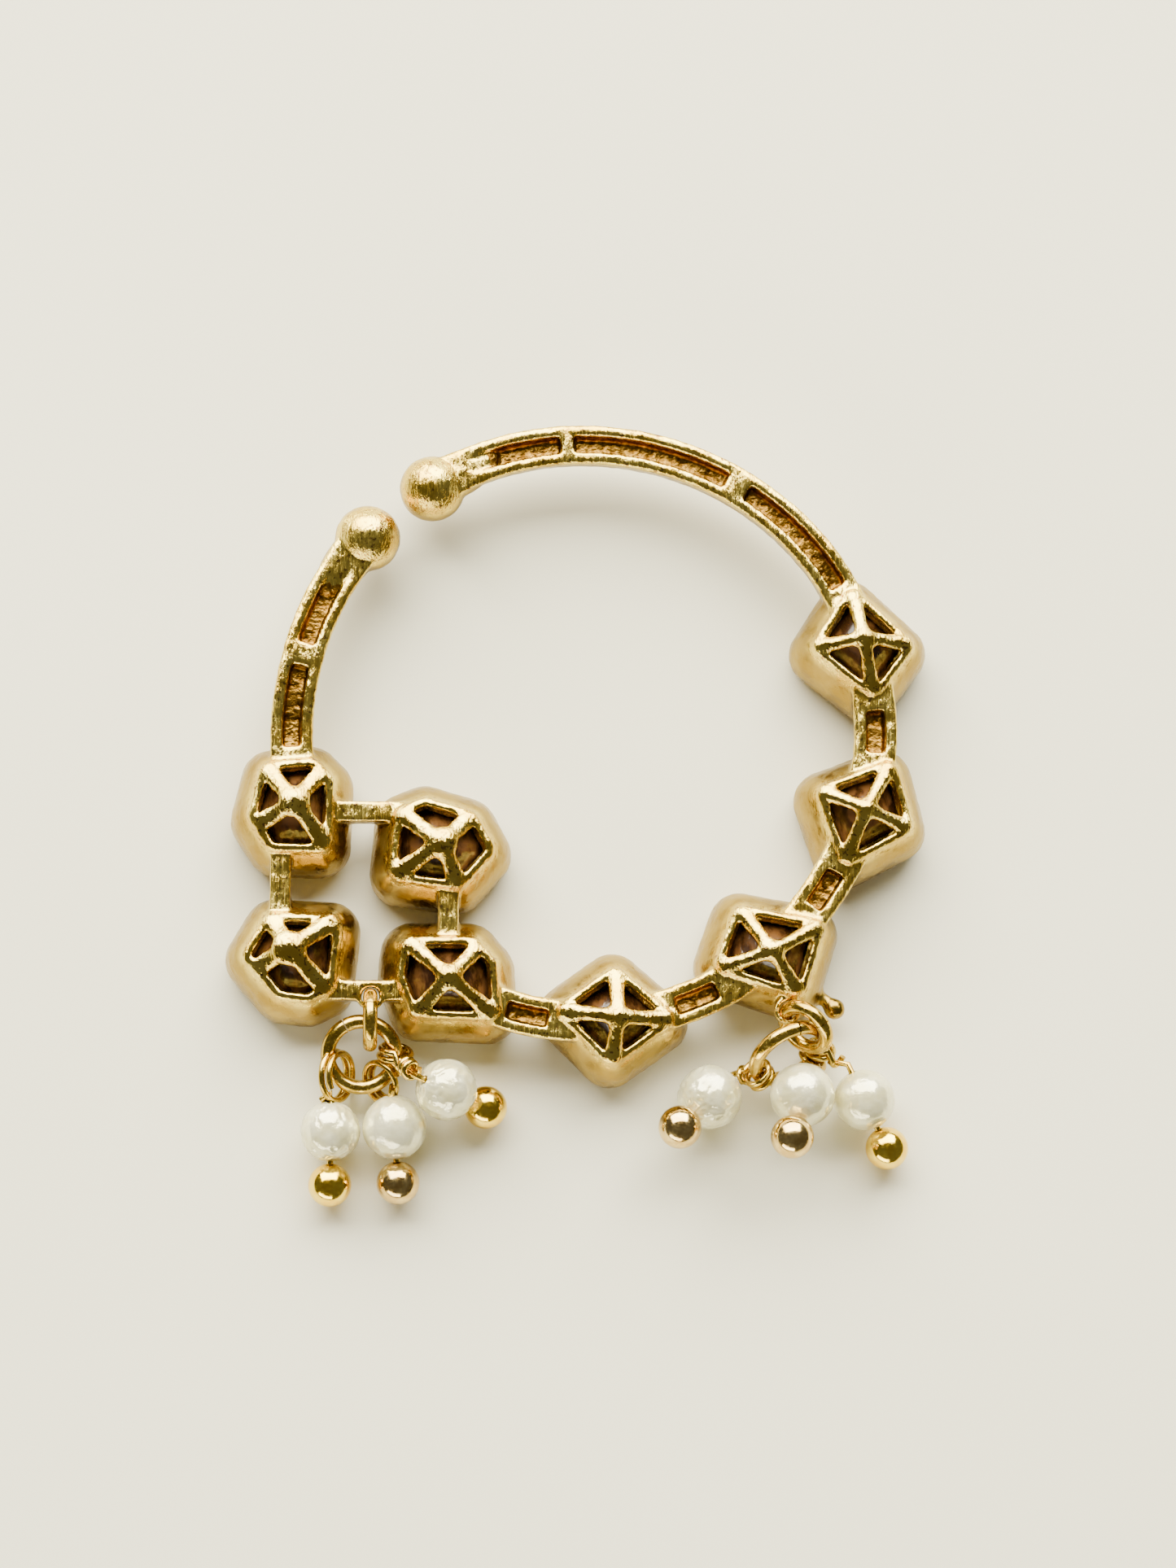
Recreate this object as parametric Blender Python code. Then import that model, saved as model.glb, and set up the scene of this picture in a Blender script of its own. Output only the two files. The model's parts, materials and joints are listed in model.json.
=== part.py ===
"""A nath, a press-on nose ring of cast gilt metal, lying on its front with the open gallery backs up.

The hoop is one casting: a band with a ball at each open end, eight stone settings, the bars
between them and two eyelets. Eight cut stones sit in the settings. From each eyelet hang two
jump rings and three head pins with a pearl each.
"""

import math
from collections import namedtuple

import bmesh
import bpy
from mathutils import Matrix, Vector

# Driving dimensions of the casting, in metres
HOOP_RADIUS = 0.0128
BAND_WIDTH = 0.00178
BAND_THICKNESS = 0.0013
BAND_DROP = 0.00006
RIM_BEVEL = 0.00016
POCKET_WIDTH = 0.00078
POCKET_DEPTH = 0.0006
POCKET_END_SLOPE = 0.00008
BAR_WIDTH = 0.00088
BALL_END_DIAMETER = 0.00285
BALL_END_SINK = 0.0008
GALLERY_REACH = 0.0025
CORNER_RADIUS = 0.0004
FRAME_WIDTH = 0.00042
FRAME_SLOPE = 0.00012
SETTING_DEPTH = 0.00305
CUP_FLARE = 0.00078
CUP_WALL = 0.00035
RIB_WIDTH = 0.00074
RIB_DEPTH = 0.0004
HUB_RISE = 0.00075
HUB_RADIUS = 0.00044
HUB_BOSS = 0.00005
EYELET_THICKNESS = 0.0005
EYELET_WALL = 0.0002
LUG_DIAMETER = 0.00098
LUG_HEIGHT = 0.0012
LUG_NECK = 0.0006

# Stones, jump rings, head pins and pearls, in metres
STONE_CLEARANCE = 0.00012
TABLE_INSET = 0.00075
STONE_HEIGHT = 0.0031
LINK_WIRE = 0.00062
UPPER_LINK_RADIUS = 0.00104
LOWER_LINK_RADIUS = 0.00143
LINK_CLEARANCE = 0.00025
PIN_WIRE = 0.00028
PIN_LOOP_RADIUS = 0.00078
WRAP_PITCH = 0.00037
PEARL_DIAMETER = 0.00278
BORE_CLEARANCE = 0.00006
BALL_DIAMETER = 0.00184
BALL_GAP = 0.00006

# How finely round shapes are drawn
ARC_STEP = math.radians(32)
BAND_STEP = math.radians(4.2)
LINK_POINTS = 16
LOOP_POINTS = 12
WRAP_POINTS = 8
PEARL_SIDES = 14
PEARL_ROWS = 9

# A setting: the hub's bearing about the hoop's centre and its distance as a share of HOOP_RADIUS,
# the frame's corners as (bearing from the hub, share of GALLERY_REACH), and the ribs' bearings
Setting = namedtuple("Setting", "name bearing distance corners ribs")
SETTINGS = (
    Setting("stone_1", -165.8, 1.014,
            ((-164, 0.85), (-117, 0.94), (-53, 1.07), (34, 0.83), (68, 0.88), (129, 0.93)),
            (-150, -53, 51, 129)),
    Setting("stone_2", -142.3, 0.623,
            ((-146, 1.12), (-67, 0.87), (-6, 0.96), (44, 0.82), (109, 0.88), (143, 1.02)),
            (-146, -67, 44, 143)),
    Setting("stone_3", -143.4, 1.239,
            ((-172, 0.85), (-103, 0.88), (-70, 0.98), (-42, 1.05), (33, 1.10), (121, 0.76)),
            (-150, -47, 33, 121)),
    Setting("stone_4", -119.3, 0.952,
            ((179, 0.90), (-133, 0.93), (-39, 1.16), (20, 0.88), (58, 0.86), (139, 1.10)),
            (-133, -39, 47, 139)),
    Setting("stone_5", -84.4, 0.963,
            ((-97, 0.88), (-1, 1.08), (92, 0.93), (173, 1.14)),
            (-97, -1, 92, 173)),
    Setting("stone_6", -50.4, 0.955,
            ((-163, 1.07), (-56, 0.98), (29, 1.12), (126, 1.04)),
            (-163, -56, 29, 126)),
    Setting("stone_7", -15.2, 0.962,
            ((-111, 1.11), (-22, 0.94), (60, 1.08), (156, 0.97)),
            (-111, -22, 60, 156)),
    Setting("stone_8", 19.7, 0.985,
            ((-171, 0.96), (-79, 1.10), (-4, 0.97), (101, 1.03)),
            (-171, -79, -4, 101)),
)

# The hoop's route: (bearing, distance as a share of HOOP_RADIUS, share of BAND_WIDTH)
HOOP_ROUTE = (
    (122, 1.003, 1.12), (112, 1.003, 1.0), (60, 1.0, 0.96), (32, 0.997, 0.96), (20, 0.985, 1.0),
    (1, 0.972, 1.07), (-15, 0.958, 1.07), (-33, 0.948, 1.05), (-50, 0.952, 1.03),
    (-67, 0.960, 1.0), (-84, 0.966, 1.0), (-102, 0.970, 1.0), (-118, 0.965, 1.0),
)
ARM_ROUTE = ((138, 1.008, 1.12), (148, 1.0, 1.03), (170, 0.995, 1.03), (192, 1.0, 1.06))
HOOP_POCKETS = (
    (114.5, 95.6), (92.8, 61.8), (57.4, 31.5),
    (5.4, -3.2), (-29.0, -37.6), (-63.4, -72.3), (-97.8, -106.6),
)
ARM_POCKETS = ((145.0, 162.4), (167.2, 183.0))

# Plain bars: the two settings, and where the bar starts and ends from each hub,
# as shares of GALLERY_REACH
Bar = namedtuple("Bar", "first second start end")
BARS = (
    Bar(0, 1, (0.40, -0.10), (-0.40, 0.576)),
    Bar(0, 2, (-0.228, -0.40), (-0.168, 0.40)),
    Bar(1, 3, (0.128, -0.40), (-0.012, 0.40)),
    Bar(2, 3, (0.40, -0.664), (-0.40, -0.20)),
)

# A drop cluster: its eyelet about the hoop's centre as shares of HOOP_RADIUS, the bearing, lean
# and sag of the upper link, then the lower link's centre, height, size as a share of
# LOWER_LINK_RADIUS, the bearing of its level axis and its tilt about that axis
Cluster = namedtuple("Cluster", "name eyelet heading lean sag centre height size axis tilt")
CLUSTERS = (
    Cluster("left", (-0.725, -0.888), -90.0, 0.0, 14.0, (-0.752, -1.076), 0.00175, 1.0, 0.0, 18.0),
    Cluster("right", (0.664, -0.927), -44.3, 29.5, 0.0, (0.675, -1.065), 0.00197, 1.13, 26.0, 60.0),
)

# A drop: the pearl's centre about the hoop's centre as shares of HOOP_RADIUS, its height and
# size as shares of PEARL_DIAMETER, the bearing and rise of its ball, the bearing on the lower
# link where its loop hangs, the loop's size as a share of PIN_LOOP_RADIUS, how far the loop is
# laid over, and the ball's metal
Drop = namedtuple("Drop", "cluster number x y height size bearing rise hook loop lean metal")
DROPS = (
    Drop(0, 1, -0.853, -1.330, 0.515, 0.93, -90, -9, -138, 1.15, 15, "yellow_gilt"),
    Drop(0, 2, -0.640, -1.315, 0.525, 1.00, -86, -9, -52, 1.00, 15, "rose_gilt"),
    Drop(0, 3, -0.471, -1.196, 0.875, 0.96, -20, -38, 0, 0.90, 0, "yellow_gilt"),
    Drop(1, 1, 0.410, -1.209, 0.520, 1.01, -135, 34, 198, 0.75, 15, "rose_gilt"),
    Drop(1, 2, 0.714, -1.207, 0.820, 1.01, -108, 34, -56, 0.76, 0, "rose_gilt"),
    Drop(1, 3, 0.930, -1.216, 0.515, 0.95, -64, -10, -32, 0.74, 0, "yellow_gilt"),
)

# The lug beside the right eyelet: its centre and its neck's foot, as shares of HOOP_RADIUS
LUG = ((0.835, -0.909), (0.769, -0.853))

# Section heights as shares of SETTING_DEPTH, and spreads as shares of CUP_FLARE
CUP_SECTION = ((0.74, 0.065), (0.94, 0.14), (1.0, 0.27), (0.97, 0.41), (0.70, 0.64), (0.22, 0.83))

BAND_TOP = SETTING_DEPTH - BAND_DROP
FRAME_EDGE = SETTING_DEPTH * 0.90
GIRDLE_LOW = SETTING_DEPTH * 0.27
GIRDLE_HIGH = SETTING_DEPTH * 0.32


def planar(bearing, distance):
    """The point at this bearing and distance, as a flat vector."""
    angle = math.radians(bearing)
    return Vector((math.cos(angle), math.sin(angle))) * distance


def hub_of(setting):
    return planar(setting.bearing, setting.distance * HOOP_RADIUS)


def corners_of(setting):
    hub = hub_of(setting)
    corners = [planar(bearing, share * GALLERY_REACH) for bearing, share in setting.corners]
    corners.sort(key=lambda corner: math.atan2(corner.y, corner.x))
    return [hub + corner for corner in corners]


def outward(first, second):
    """The unit normal on the right of the step from first to second."""
    step = (second - first).normalized()
    return Vector((step.y, -step.x))


def outline(setting, spread, level, arc_step=ARC_STEP):
    """The frame's polygon spread outwards by spread, with round corners, at this level."""
    corners = corners_of(setting)
    radius = max(CORNER_RADIUS + spread, CORNER_RADIUS * 0.25)
    points = []
    for index, corner in enumerate(corners):
        before = outward(corners[index - 1], corner)
        after = outward(corner, corners[(index + 1) % len(corners)])
        turn = before.angle(after)
        centre = corner + (before + after) * (spread - radius) / (1 + before.dot(after))
        steps = max(1, round(turn / arc_step))
        for step in range(steps + 1):
            angle = turn * step / steps
            normal = before @ Matrix.Rotation(-angle, 2)
            points.append(Vector((*(centre + normal * radius), level)))
    return points


def drawn_in(points, hub, share, level):
    """The same outline drawn in towards the hub, at another level."""
    return [Vector((*(hub + (point.xy - hub) * share), level)) for point in points]


def material(name, colour, metallic, roughness):
    made = bpy.data.materials.new(name)
    made.use_nodes = True
    shader = made.node_tree.nodes["Principled BSDF"]
    shader.inputs["Base Color"].default_value = (*colour, 1.0)
    shader.inputs["Metallic"].default_value = metallic
    shader.inputs["Roughness"].default_value = roughness
    return made


def add_object(name, mesh, finish=None):
    mesh.shade_smooth()
    mesh.set_sharp_from_angle(angle=math.radians(35))
    if finish:
        mesh.materials.append(finish)
    made = bpy.data.objects.new(name, mesh)
    bpy.context.scene.collection.objects.link(made)
    return made


def add_helper(name, mesh, group):
    """A body that a Boolean uses, kept out of the render."""
    made = bpy.data.objects.new(name, mesh)
    group.objects.link(made)
    made.hide_render = True
    made.display_type = "WIRE"
    return made


def add_group(name):
    group = bpy.data.collections.new(name)
    bpy.context.scene.collection.children.link(group)
    return group


def mesh_from(builder, name):
    bmesh.ops.recalc_face_normals(builder, faces=builder.faces)
    mesh = bpy.data.meshes.new(name)
    builder.to_mesh(mesh)
    builder.free()
    return mesh


def loft(name, rings, hollow=False):
    """A body skinned over rings of equally many points: capped, or closed on itself if hollow."""
    builder = bmesh.new()
    rows = [[builder.verts.new(point) for point in ring] for ring in rings]
    count = len(rows[0])
    pairs = list(zip(rows, rows[1:]))
    if hollow:
        pairs.append((rows[-1], rows[0]))
    else:
        builder.faces.new(rows[0])
        builder.faces.new(rows[-1])
    for low, high in pairs:
        for index in range(count):
            after = (index + 1) % count
            builder.faces.new((low[index], low[after], high[after], high[index]))
    return mesh_from(builder, name)


def wire(name, points, diameter, closed=False):
    """A round wire of six sides along the points."""
    curve = bpy.data.curves.new(name, "CURVE")
    curve.dimensions = "3D"
    curve.bevel_depth = diameter / 2
    curve.bevel_resolution = 1
    curve.use_fill_caps = True
    spline = curve.splines.new("POLY")
    spline.points.add(len(points) - 1)
    for slot, point in zip(spline.points, points):
        slot.co = (*point, 1.0)
    spline.use_cyclic_u = closed
    guide = bpy.data.objects.new(name, curve)
    mesh = bpy.data.meshes.new_from_object(guide)
    bpy.data.objects.remove(guide)
    builder = bmesh.new()
    builder.from_mesh(mesh)
    bmesh.ops.remove_doubles(builder, verts=builder.verts, dist=1e-7)
    bpy.data.meshes.remove(mesh)
    return mesh_from(builder, name)


def ball(name, centre, diameter, sides, rows):
    builder = bmesh.new()
    bmesh.ops.create_uvsphere(builder, u_segments=sides, v_segments=rows, radius=diameter / 2,
                              matrix=Matrix.Translation(centre))
    return mesh_from(builder, name)


def upright(name, centre, radius, low, high, sides=16):
    """An upright round disc or pin between two levels."""
    rings = []
    for level in (low, high):
        rings.append([Vector((*(centre + planar(360 * side / sides, radius)), level))
                      for side in range(sides)])
    return loft(name, rings)


def at_bearing(route, bearing):
    """The route's distance and width shares at this bearing, eased between its rows."""
    for first, second in zip(route, route[1:]):
        low, high = sorted((first[0], second[0]))
        if low <= bearing <= high:
            share = (bearing - first[0]) / (second[0] - first[0])
            share = share * share * (3 - 2 * share)
            return [a + (b - a) * share for a, b in zip(first[1:], second[1:])]
    raise ValueError(f"bearing {bearing} is off the route")


def band_section(centre, across, width, depth, top, thickness, pocket_width):
    """The band's outline at one place: sides, rounded rims, and a pocket this deep between them."""
    half = width / 2
    pocket = pocket_width / 2
    slope = pocket_width / 20
    rows = (
        (-half + RIM_BEVEL / 2, top - thickness), (-half, top - RIM_BEVEL),
        (-half + RIM_BEVEL, top), (-pocket, top), (-pocket + slope, top - depth),
        (pocket - slope, top - depth), (pocket, top), (half - RIM_BEVEL, top),
        (half, top - RIM_BEVEL), (half - RIM_BEVEL / 2, top - thickness),
    )
    return [Vector((*(centre + across * offset), level)) for offset, level in rows]


def band_mesh(name, route, pockets):
    """A stretch of the hoop: a band swept along its route, with its pockets sunk from the top."""
    start, end = route[0][0], route[-1][0]
    way = 1 if end > start else -1
    slope = math.degrees(POCKET_END_SLOPE / HOOP_RADIUS)
    places = [(start, 0.0)]
    for first, last in pockets:
        places += [(first, 0.0), (first + way * slope, POCKET_DEPTH)]
        places += [(last - way * slope, POCKET_DEPTH), (last, 0.0)]
    places.append((end, 0.0))
    sections = []
    for (bearing, depth), (following, depth_after) in zip(places, places[1:]):
        steps = max(1, math.ceil(abs(following - bearing) / math.degrees(BAND_STEP)))
        if depth != depth_after:
            steps = 1
        for step in range(steps):
            sections.append((bearing + (following - bearing) * step / steps, depth))
    sections.append(places[-1])
    rings = []
    for bearing, depth in sections:
        distance, width = at_bearing(route, bearing)
        centre = planar(bearing, distance * HOOP_RADIUS)
        rings.append(band_section(centre, planar(bearing, 1.0), width * BAND_WIDTH, depth,
                                  BAND_TOP, BAND_THICKNESS, POCKET_WIDTH))
    return loft(name, rings)


def bar_mesh(name, bar):
    """A plain narrow bar between two settings."""
    start = hub_of(SETTINGS[bar.first]) + Vector(bar.start) * GALLERY_REACH
    end = hub_of(SETTINGS[bar.second]) + Vector(bar.end) * GALLERY_REACH
    across = outward(start, end)
    rings = [band_section(place, across, BAR_WIDTH, 0.0, BAND_TOP - BAND_DROP / 2,
                          BAND_THICKNESS * 0.8, BAR_WIDTH / 3) for place in (start, end)]
    return loft(name, rings)


def cup_rings(setting):
    """The setting's wall in rings: up the outside, over the frame and down the inside."""
    outer = [(share * CUP_FLARE, height * SETTING_DEPTH) for share, height in CUP_SECTION]
    inner = [(spread - CUP_WALL, level) for spread, level in reversed(outer[1:])]
    lip = (outer[0][0] - CUP_WALL * 1.1, outer[0][1])
    throat = (inner[-1][0] - CUP_WALL * 0.6, GIRDLE_LOW * 0.55)
    frame = ((0.0, FRAME_EDGE), (0.0, SETTING_DEPTH - FRAME_SLOPE * 1.4),
             (-FRAME_WIDTH * 0.22, SETTING_DEPTH - FRAME_SLOPE * 0.5),
             (-FRAME_WIDTH * 0.85, SETTING_DEPTH), (-FRAME_WIDTH, SETTING_DEPTH - FRAME_SLOPE),
             (-FRAME_WIDTH, FRAME_EDGE))
    section = [*outer, *frame, *inner[:-1], throat, lip]
    return [outline(setting, spread, level) for spread, level in section]


def plug_rings(setting):
    """The setting's hollow, out to the middle of its wall, which the bars end against."""
    middle = [(share * CUP_FLARE - CUP_WALL / 2, height * SETTING_DEPTH)
              for share, height in CUP_SECTION[2:]]
    rim = -FRAME_WIDTH / 2
    top = SETTING_DEPTH + HUB_RISE
    section = [(middle[0][0], 0.0), *middle, (rim, FRAME_EDGE), (rim, top)]
    return [outline(setting, spread, level) for spread, level in section]


def reach_along(setting, bearing):
    """How far the frame's middle line lies from the hub at this bearing."""
    hub = hub_of(setting)
    direction = planar(bearing, 1.0)
    corners = corners_of(setting)
    reaches = []
    for index, corner in enumerate(corners):
        normal = outward(corners[index - 1], corner)
        slant = normal.dot(direction)
        if slant > 0:
            reaches.append(((corner - hub).dot(normal) - FRAME_WIDTH / 2) / slant)
    return min(reaches)


def rib_rings(setting, bearing):
    """A rib of the open pyramid, from the frame up to the hub."""
    hub = hub_of(setting)
    direction = planar(bearing, 1.0)
    across = Vector((-direction.y, direction.x))
    reach = reach_along(setting, bearing)
    rings = []
    for distance, top in ((-HUB_RADIUS / 3, SETTING_DEPTH + HUB_RISE), (reach, SETTING_DEPTH)):
        place = hub + direction * distance
        rows = ((-0.5, -1.0), (-0.5, -0.45), (-0.2, 0.0), (0.2, 0.0), (0.5, -0.45), (0.5, -1.0))
        rings.append([Vector((*(place + across * side * RIB_WIDTH), top + drop * RIB_DEPTH))
                      for side, drop in rows])
    return rings


def hub_rings(setting):
    """The small boss where the four ribs meet."""
    hub = hub_of(setting)
    top = SETTING_DEPTH + HUB_RISE + HUB_BOSS
    rows = ((0.95, top - RIB_DEPTH), (1.0, top - HUB_BOSS * 3), (0.72, top))
    turn = setting.ribs[0]
    return [[Vector((*(hub + planar(turn + 45 * side, share * HUB_RADIUS)), level))
             for side in range(8)] for share, level in rows]


def stone_mesh(setting):
    """A cut stone: table, crown facets, girdle, and a step-cut back that rises inside the cup."""
    hub = hub_of(setting)
    edge = CUP_FLARE - CUP_WALL - STONE_CLEARANCE
    cut = math.radians(90)
    girdle = outline(setting, edge, GIRDLE_LOW, cut)
    rings = [outline(setting, edge - TABLE_INSET, 0.0, cut), girdle]
    for share, rise in ((1.0, 0.0), (0.90, 0.28), (0.60, 0.64), (0.10, 1.0)):
        level = GIRDLE_HIGH + (STONE_HEIGHT - GIRDLE_HIGH) * rise
        rings.append(drawn_in(girdle, hub, share, level))
    return loft(setting.name, rings)


def link_frame(cluster, upper):
    """A link's centre, its radius and the two directions that its circle lies in."""
    if upper:
        heading = Vector((*planar(cluster.heading, 1.0), 0.0))
        lean = Matrix.Rotation(math.radians(-cluster.lean), 3, heading)
        rising = lean @ Vector((0.0, 0.0, 1.0))
        sag = math.radians(cluster.sag)
        height = BAND_TOP - BAND_DROP - EYELET_THICKNESS / 2
        eyelet = Vector((*(Vector(cluster.eyelet) * HOOP_RADIUS), height))
        way = heading * math.cos(sag) - rising * math.sin(sag)
        return eyelet + way * UPPER_LINK_RADIUS, UPPER_LINK_RADIUS, heading, rising
    centre = Vector((*(Vector(cluster.centre) * HOOP_RADIUS), cluster.height))
    level = Vector((*planar(cluster.axis, 1.0), 0.0))
    rising = Matrix.Rotation(math.radians(cluster.tilt), 3, level) @ Vector((0, 0, 1)).cross(level)
    return centre, cluster.size * LOWER_LINK_RADIUS, level, rising


def link_point(frame, bearing):
    centre, radius, along, across = frame
    angle = math.radians(bearing)
    return centre + (along * math.cos(angle) + across * math.sin(angle)) * radius


def link_mesh(name, frame):
    points = [link_point(frame, 360 * step / LINK_POINTS) for step in range(LINK_POINTS)]
    return wire(name, points, LINK_WIRE, closed=True)


def drop_frame(drop):
    """The pearl's centre, its radius and the direction from it to the ball."""
    centre = Vector((drop.x * HOOP_RADIUS, drop.y * HOOP_RADIUS, drop.height * PEARL_DIAMETER))
    flat = math.cos(math.radians(drop.rise))
    axis = Vector((*planar(drop.bearing, flat), math.sin(math.radians(drop.rise))))
    return centre, drop.size * PEARL_DIAMETER / 2, axis


def pin_route(drop):
    """The head pin's wire: ball, pearl, a loop round the link, and the end wrapped on itself."""
    pearl, pearl_radius, axis = drop_frame(drop)
    frame = link_frame(CLUSTERS[drop.cluster], upper=False)
    hook = link_point(frame, drop.hook)
    tangent = link_point(frame, drop.hook + 1) - hook
    leave = pearl - axis * (pearl_radius + PIN_WIRE * 1.3)
    towards = (leave - hook).normalized()
    turning = (tangent - towards * tangent.dot(towards)).normalized()
    turning = Matrix.Rotation(math.radians(drop.lean), 3, towards) @ turning
    side = turning.cross(towards)
    loop = drop.loop * PIN_LOOP_RADIUS
    foot = hook + towards * loop
    route = [pearl + axis * (pearl_radius + BALL_GAP + BALL_DIAMETER / 2), pearl, leave]
    for step in range(LOOP_POINTS):
        angle = math.radians(330) * step / (LOOP_POINTS - 1)
        route.append(hook + (towards * math.cos(angle) + side * math.sin(angle)) * loop)
    turns = max(0.0, ((leave - foot).length - PIN_WIRE * 2.2) / WRAP_PITCH)
    for step in range(int(turns * WRAP_POINTS)):
        angle = 2 * math.pi * step / WRAP_POINTS
        away = -side * math.cos(angle) - turning * math.sin(angle)
        along = towards * (PIN_WIRE * 0.7 + WRAP_PITCH * step / WRAP_POINTS)
        route.append(foot + along + away * PIN_WIRE * 1.15)
    return route


def pearl_mesh(drop):
    """A round pearl drilled along its pin."""
    centre, radius, axis = drop_frame(drop)
    bore = PIN_WIRE / 2 + BORE_CLEARANCE
    lowest = math.asin(bore / radius)
    profile = []
    for row in range(PEARL_ROWS + 1):
        angle = lowest + (math.pi - 2 * lowest) * row / PEARL_ROWS
        profile.append((radius * math.sin(angle), 0.0, radius * math.cos(angle)))
    builder = bmesh.new()
    verts = [builder.verts.new(point) for point in profile]
    edges = [builder.edges.new((verts[index - 1], verts[index])) for index in range(len(verts))]
    bmesh.ops.spin(builder, geom=[*verts, *edges], cent=(0, 0, 0), axis=(0, 0, 1),
                   angle=2 * math.pi, steps=PEARL_SIDES, use_merge=True)
    turn = axis.to_track_quat("Z", "Y").to_matrix().to_4x4()
    bmesh.ops.transform(builder, matrix=Matrix.Translation(centre) @ turn, verts=builder.verts)
    return mesh_from(builder, "pearl")


def add_boolean(body, operation, group=None, other=None):
    modifier = body.modifiers.new(operation.lower(), "BOOLEAN")
    modifier.operation = operation
    modifier.solver = "EXACT"
    if group:
        modifier.operand_type = "COLLECTION"
        modifier.collection = group
    else:
        modifier.object = other


def add_casting(finish):
    """The whole cast hoop: bands, bars and eyelets, holed and trimmed, joined to the settings."""
    joined = add_group("bars")
    trimmed = add_group("hollows")
    settings = add_group("settings")
    add_helper("arm", band_mesh("arm", ARM_ROUTE, ARM_POCKETS), joined)
    for index, bar in enumerate(BARS):
        add_helper(f"bar_{index}", bar_mesh("bar", bar), joined)
    hole = LINK_WIRE / 2 + LINK_CLEARANCE
    for cluster in CLUSTERS:
        place = Vector(cluster.eyelet) * HOOP_RADIUS
        top = BAND_TOP - BAND_DROP
        disc = upright("eyelet", place, hole + EYELET_WALL, top - EYELET_THICKNESS, top)
        add_helper("eyelet_" + cluster.name, disc, joined)
        gap = upright("hole", place, hole, 0.0, SETTING_DEPTH + HUB_RISE)
        add_helper("hole_" + cluster.name, gap, trimmed)
    lug, foot = [Vector((*(Vector(place) * HOOP_RADIUS), LUG_HEIGHT)) for place in LUG]
    add_helper("lug", ball("lug", lug, LUG_DIAMETER, 10, 7), joined)
    add_helper("lug_neck", wire("lug_neck", (foot, lug), LUG_NECK), joined)
    for route in (HOOP_ROUTE, ARM_ROUTE):
        bearing, distance, _ = route[0]
        height = BAND_TOP - BALL_END_SINK
        place = Vector((*planar(bearing, distance * HOOP_RADIUS), height))
        add_helper("ball_end", ball("ball_end", place, BALL_END_DIAMETER, 16, 10), joined)
    for setting in SETTINGS:
        add_helper("plug_" + setting.name, loft("plug", plug_rings(setting)), trimmed)
        add_helper("cup_" + setting.name, loft("cup", cup_rings(setting), hollow=True), settings)
        add_helper("hub_" + setting.name, loft("hub", hub_rings(setting)), settings)
        for bearing in setting.ribs:
            add_helper("rib_" + setting.name, loft("rib", rib_rings(setting, bearing)), settings)
    casting = add_object("cast_frame", band_mesh("cast_frame", HOOP_ROUTE, HOOP_POCKETS), finish)
    add_boolean(casting, "UNION", group=joined)
    add_boolean(casting, "DIFFERENCE", group=trimmed)
    add_boolean(casting, "UNION", group=settings)


def centre_on_origin():
    """Moves every mesh so that the object's box stands on the origin."""
    graph = bpy.context.evaluated_depsgraph_get()
    low = Vector((math.inf,) * 3)
    high = -low
    for item in bpy.context.scene.objects:
        if item.hide_render:
            continue
        for corner in item.evaluated_get(graph).bound_box:
            low = Vector(map(min, low, corner))
            high = Vector(map(max, high, corner))
    shift = Vector((-(low.x + high.x) / 2, -(low.y + high.y) / 2, -low.z))
    for mesh in bpy.data.meshes:
        mesh.transform(Matrix.Translation(shift))


for item in list(bpy.data.objects):
    bpy.data.objects.remove(item)

gilt = material("cast_gilt", (0.83, 0.62, 0.26), 1.0, 0.28)
wire_gilt = material("wire_gilt", (0.85, 0.60, 0.22), 1.0, 0.2)
stone_brown = material("brown_stone", (0.12, 0.05, 0.02), 0.0, 0.08)
nacre = material("pearl_nacre", (0.90, 0.88, 0.82), 0.0, 0.25)
ball_finishes = {
    "yellow_gilt": material("yellow_gilt", (0.90, 0.62, 0.15), 1.0, 0.12),
    "rose_gilt": material("rose_gilt", (0.86, 0.55, 0.36), 1.0, 0.12),
}

add_casting(gilt)
for setting in SETTINGS:
    add_object(setting.name, stone_mesh(setting), stone_brown)

for cluster in CLUSTERS:
    for label, upper in (("upper", True), ("lower", False)):
        name = f"{cluster.name}_{label}_link"
        add_object(name, link_mesh(name, link_frame(cluster, upper)), wire_gilt)

head_balls = add_group("head_balls")
for drop in DROPS:
    label = f"{CLUSTERS[drop.cluster].name}_pin_{drop.number}"
    pin = add_object(label, wire(label, pin_route(drop), PIN_WIRE), ball_finishes[drop.metal])
    centre, radius, axis = drop_frame(drop)
    place = centre + axis * (radius + BALL_GAP + BALL_DIAMETER / 2)
    head = add_helper("head_" + label, ball("head", place, BALL_DIAMETER, 12, 8), head_balls)
    add_boolean(pin, "UNION", other=head)
    add_object(label.replace("pin", "pearl"), pearl_mesh(drop), nacre)

centre_on_origin()
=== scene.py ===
import json
import math
from collections import namedtuple

import bmesh
import bpy
from mathutils import Matrix, Vector, noise

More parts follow.
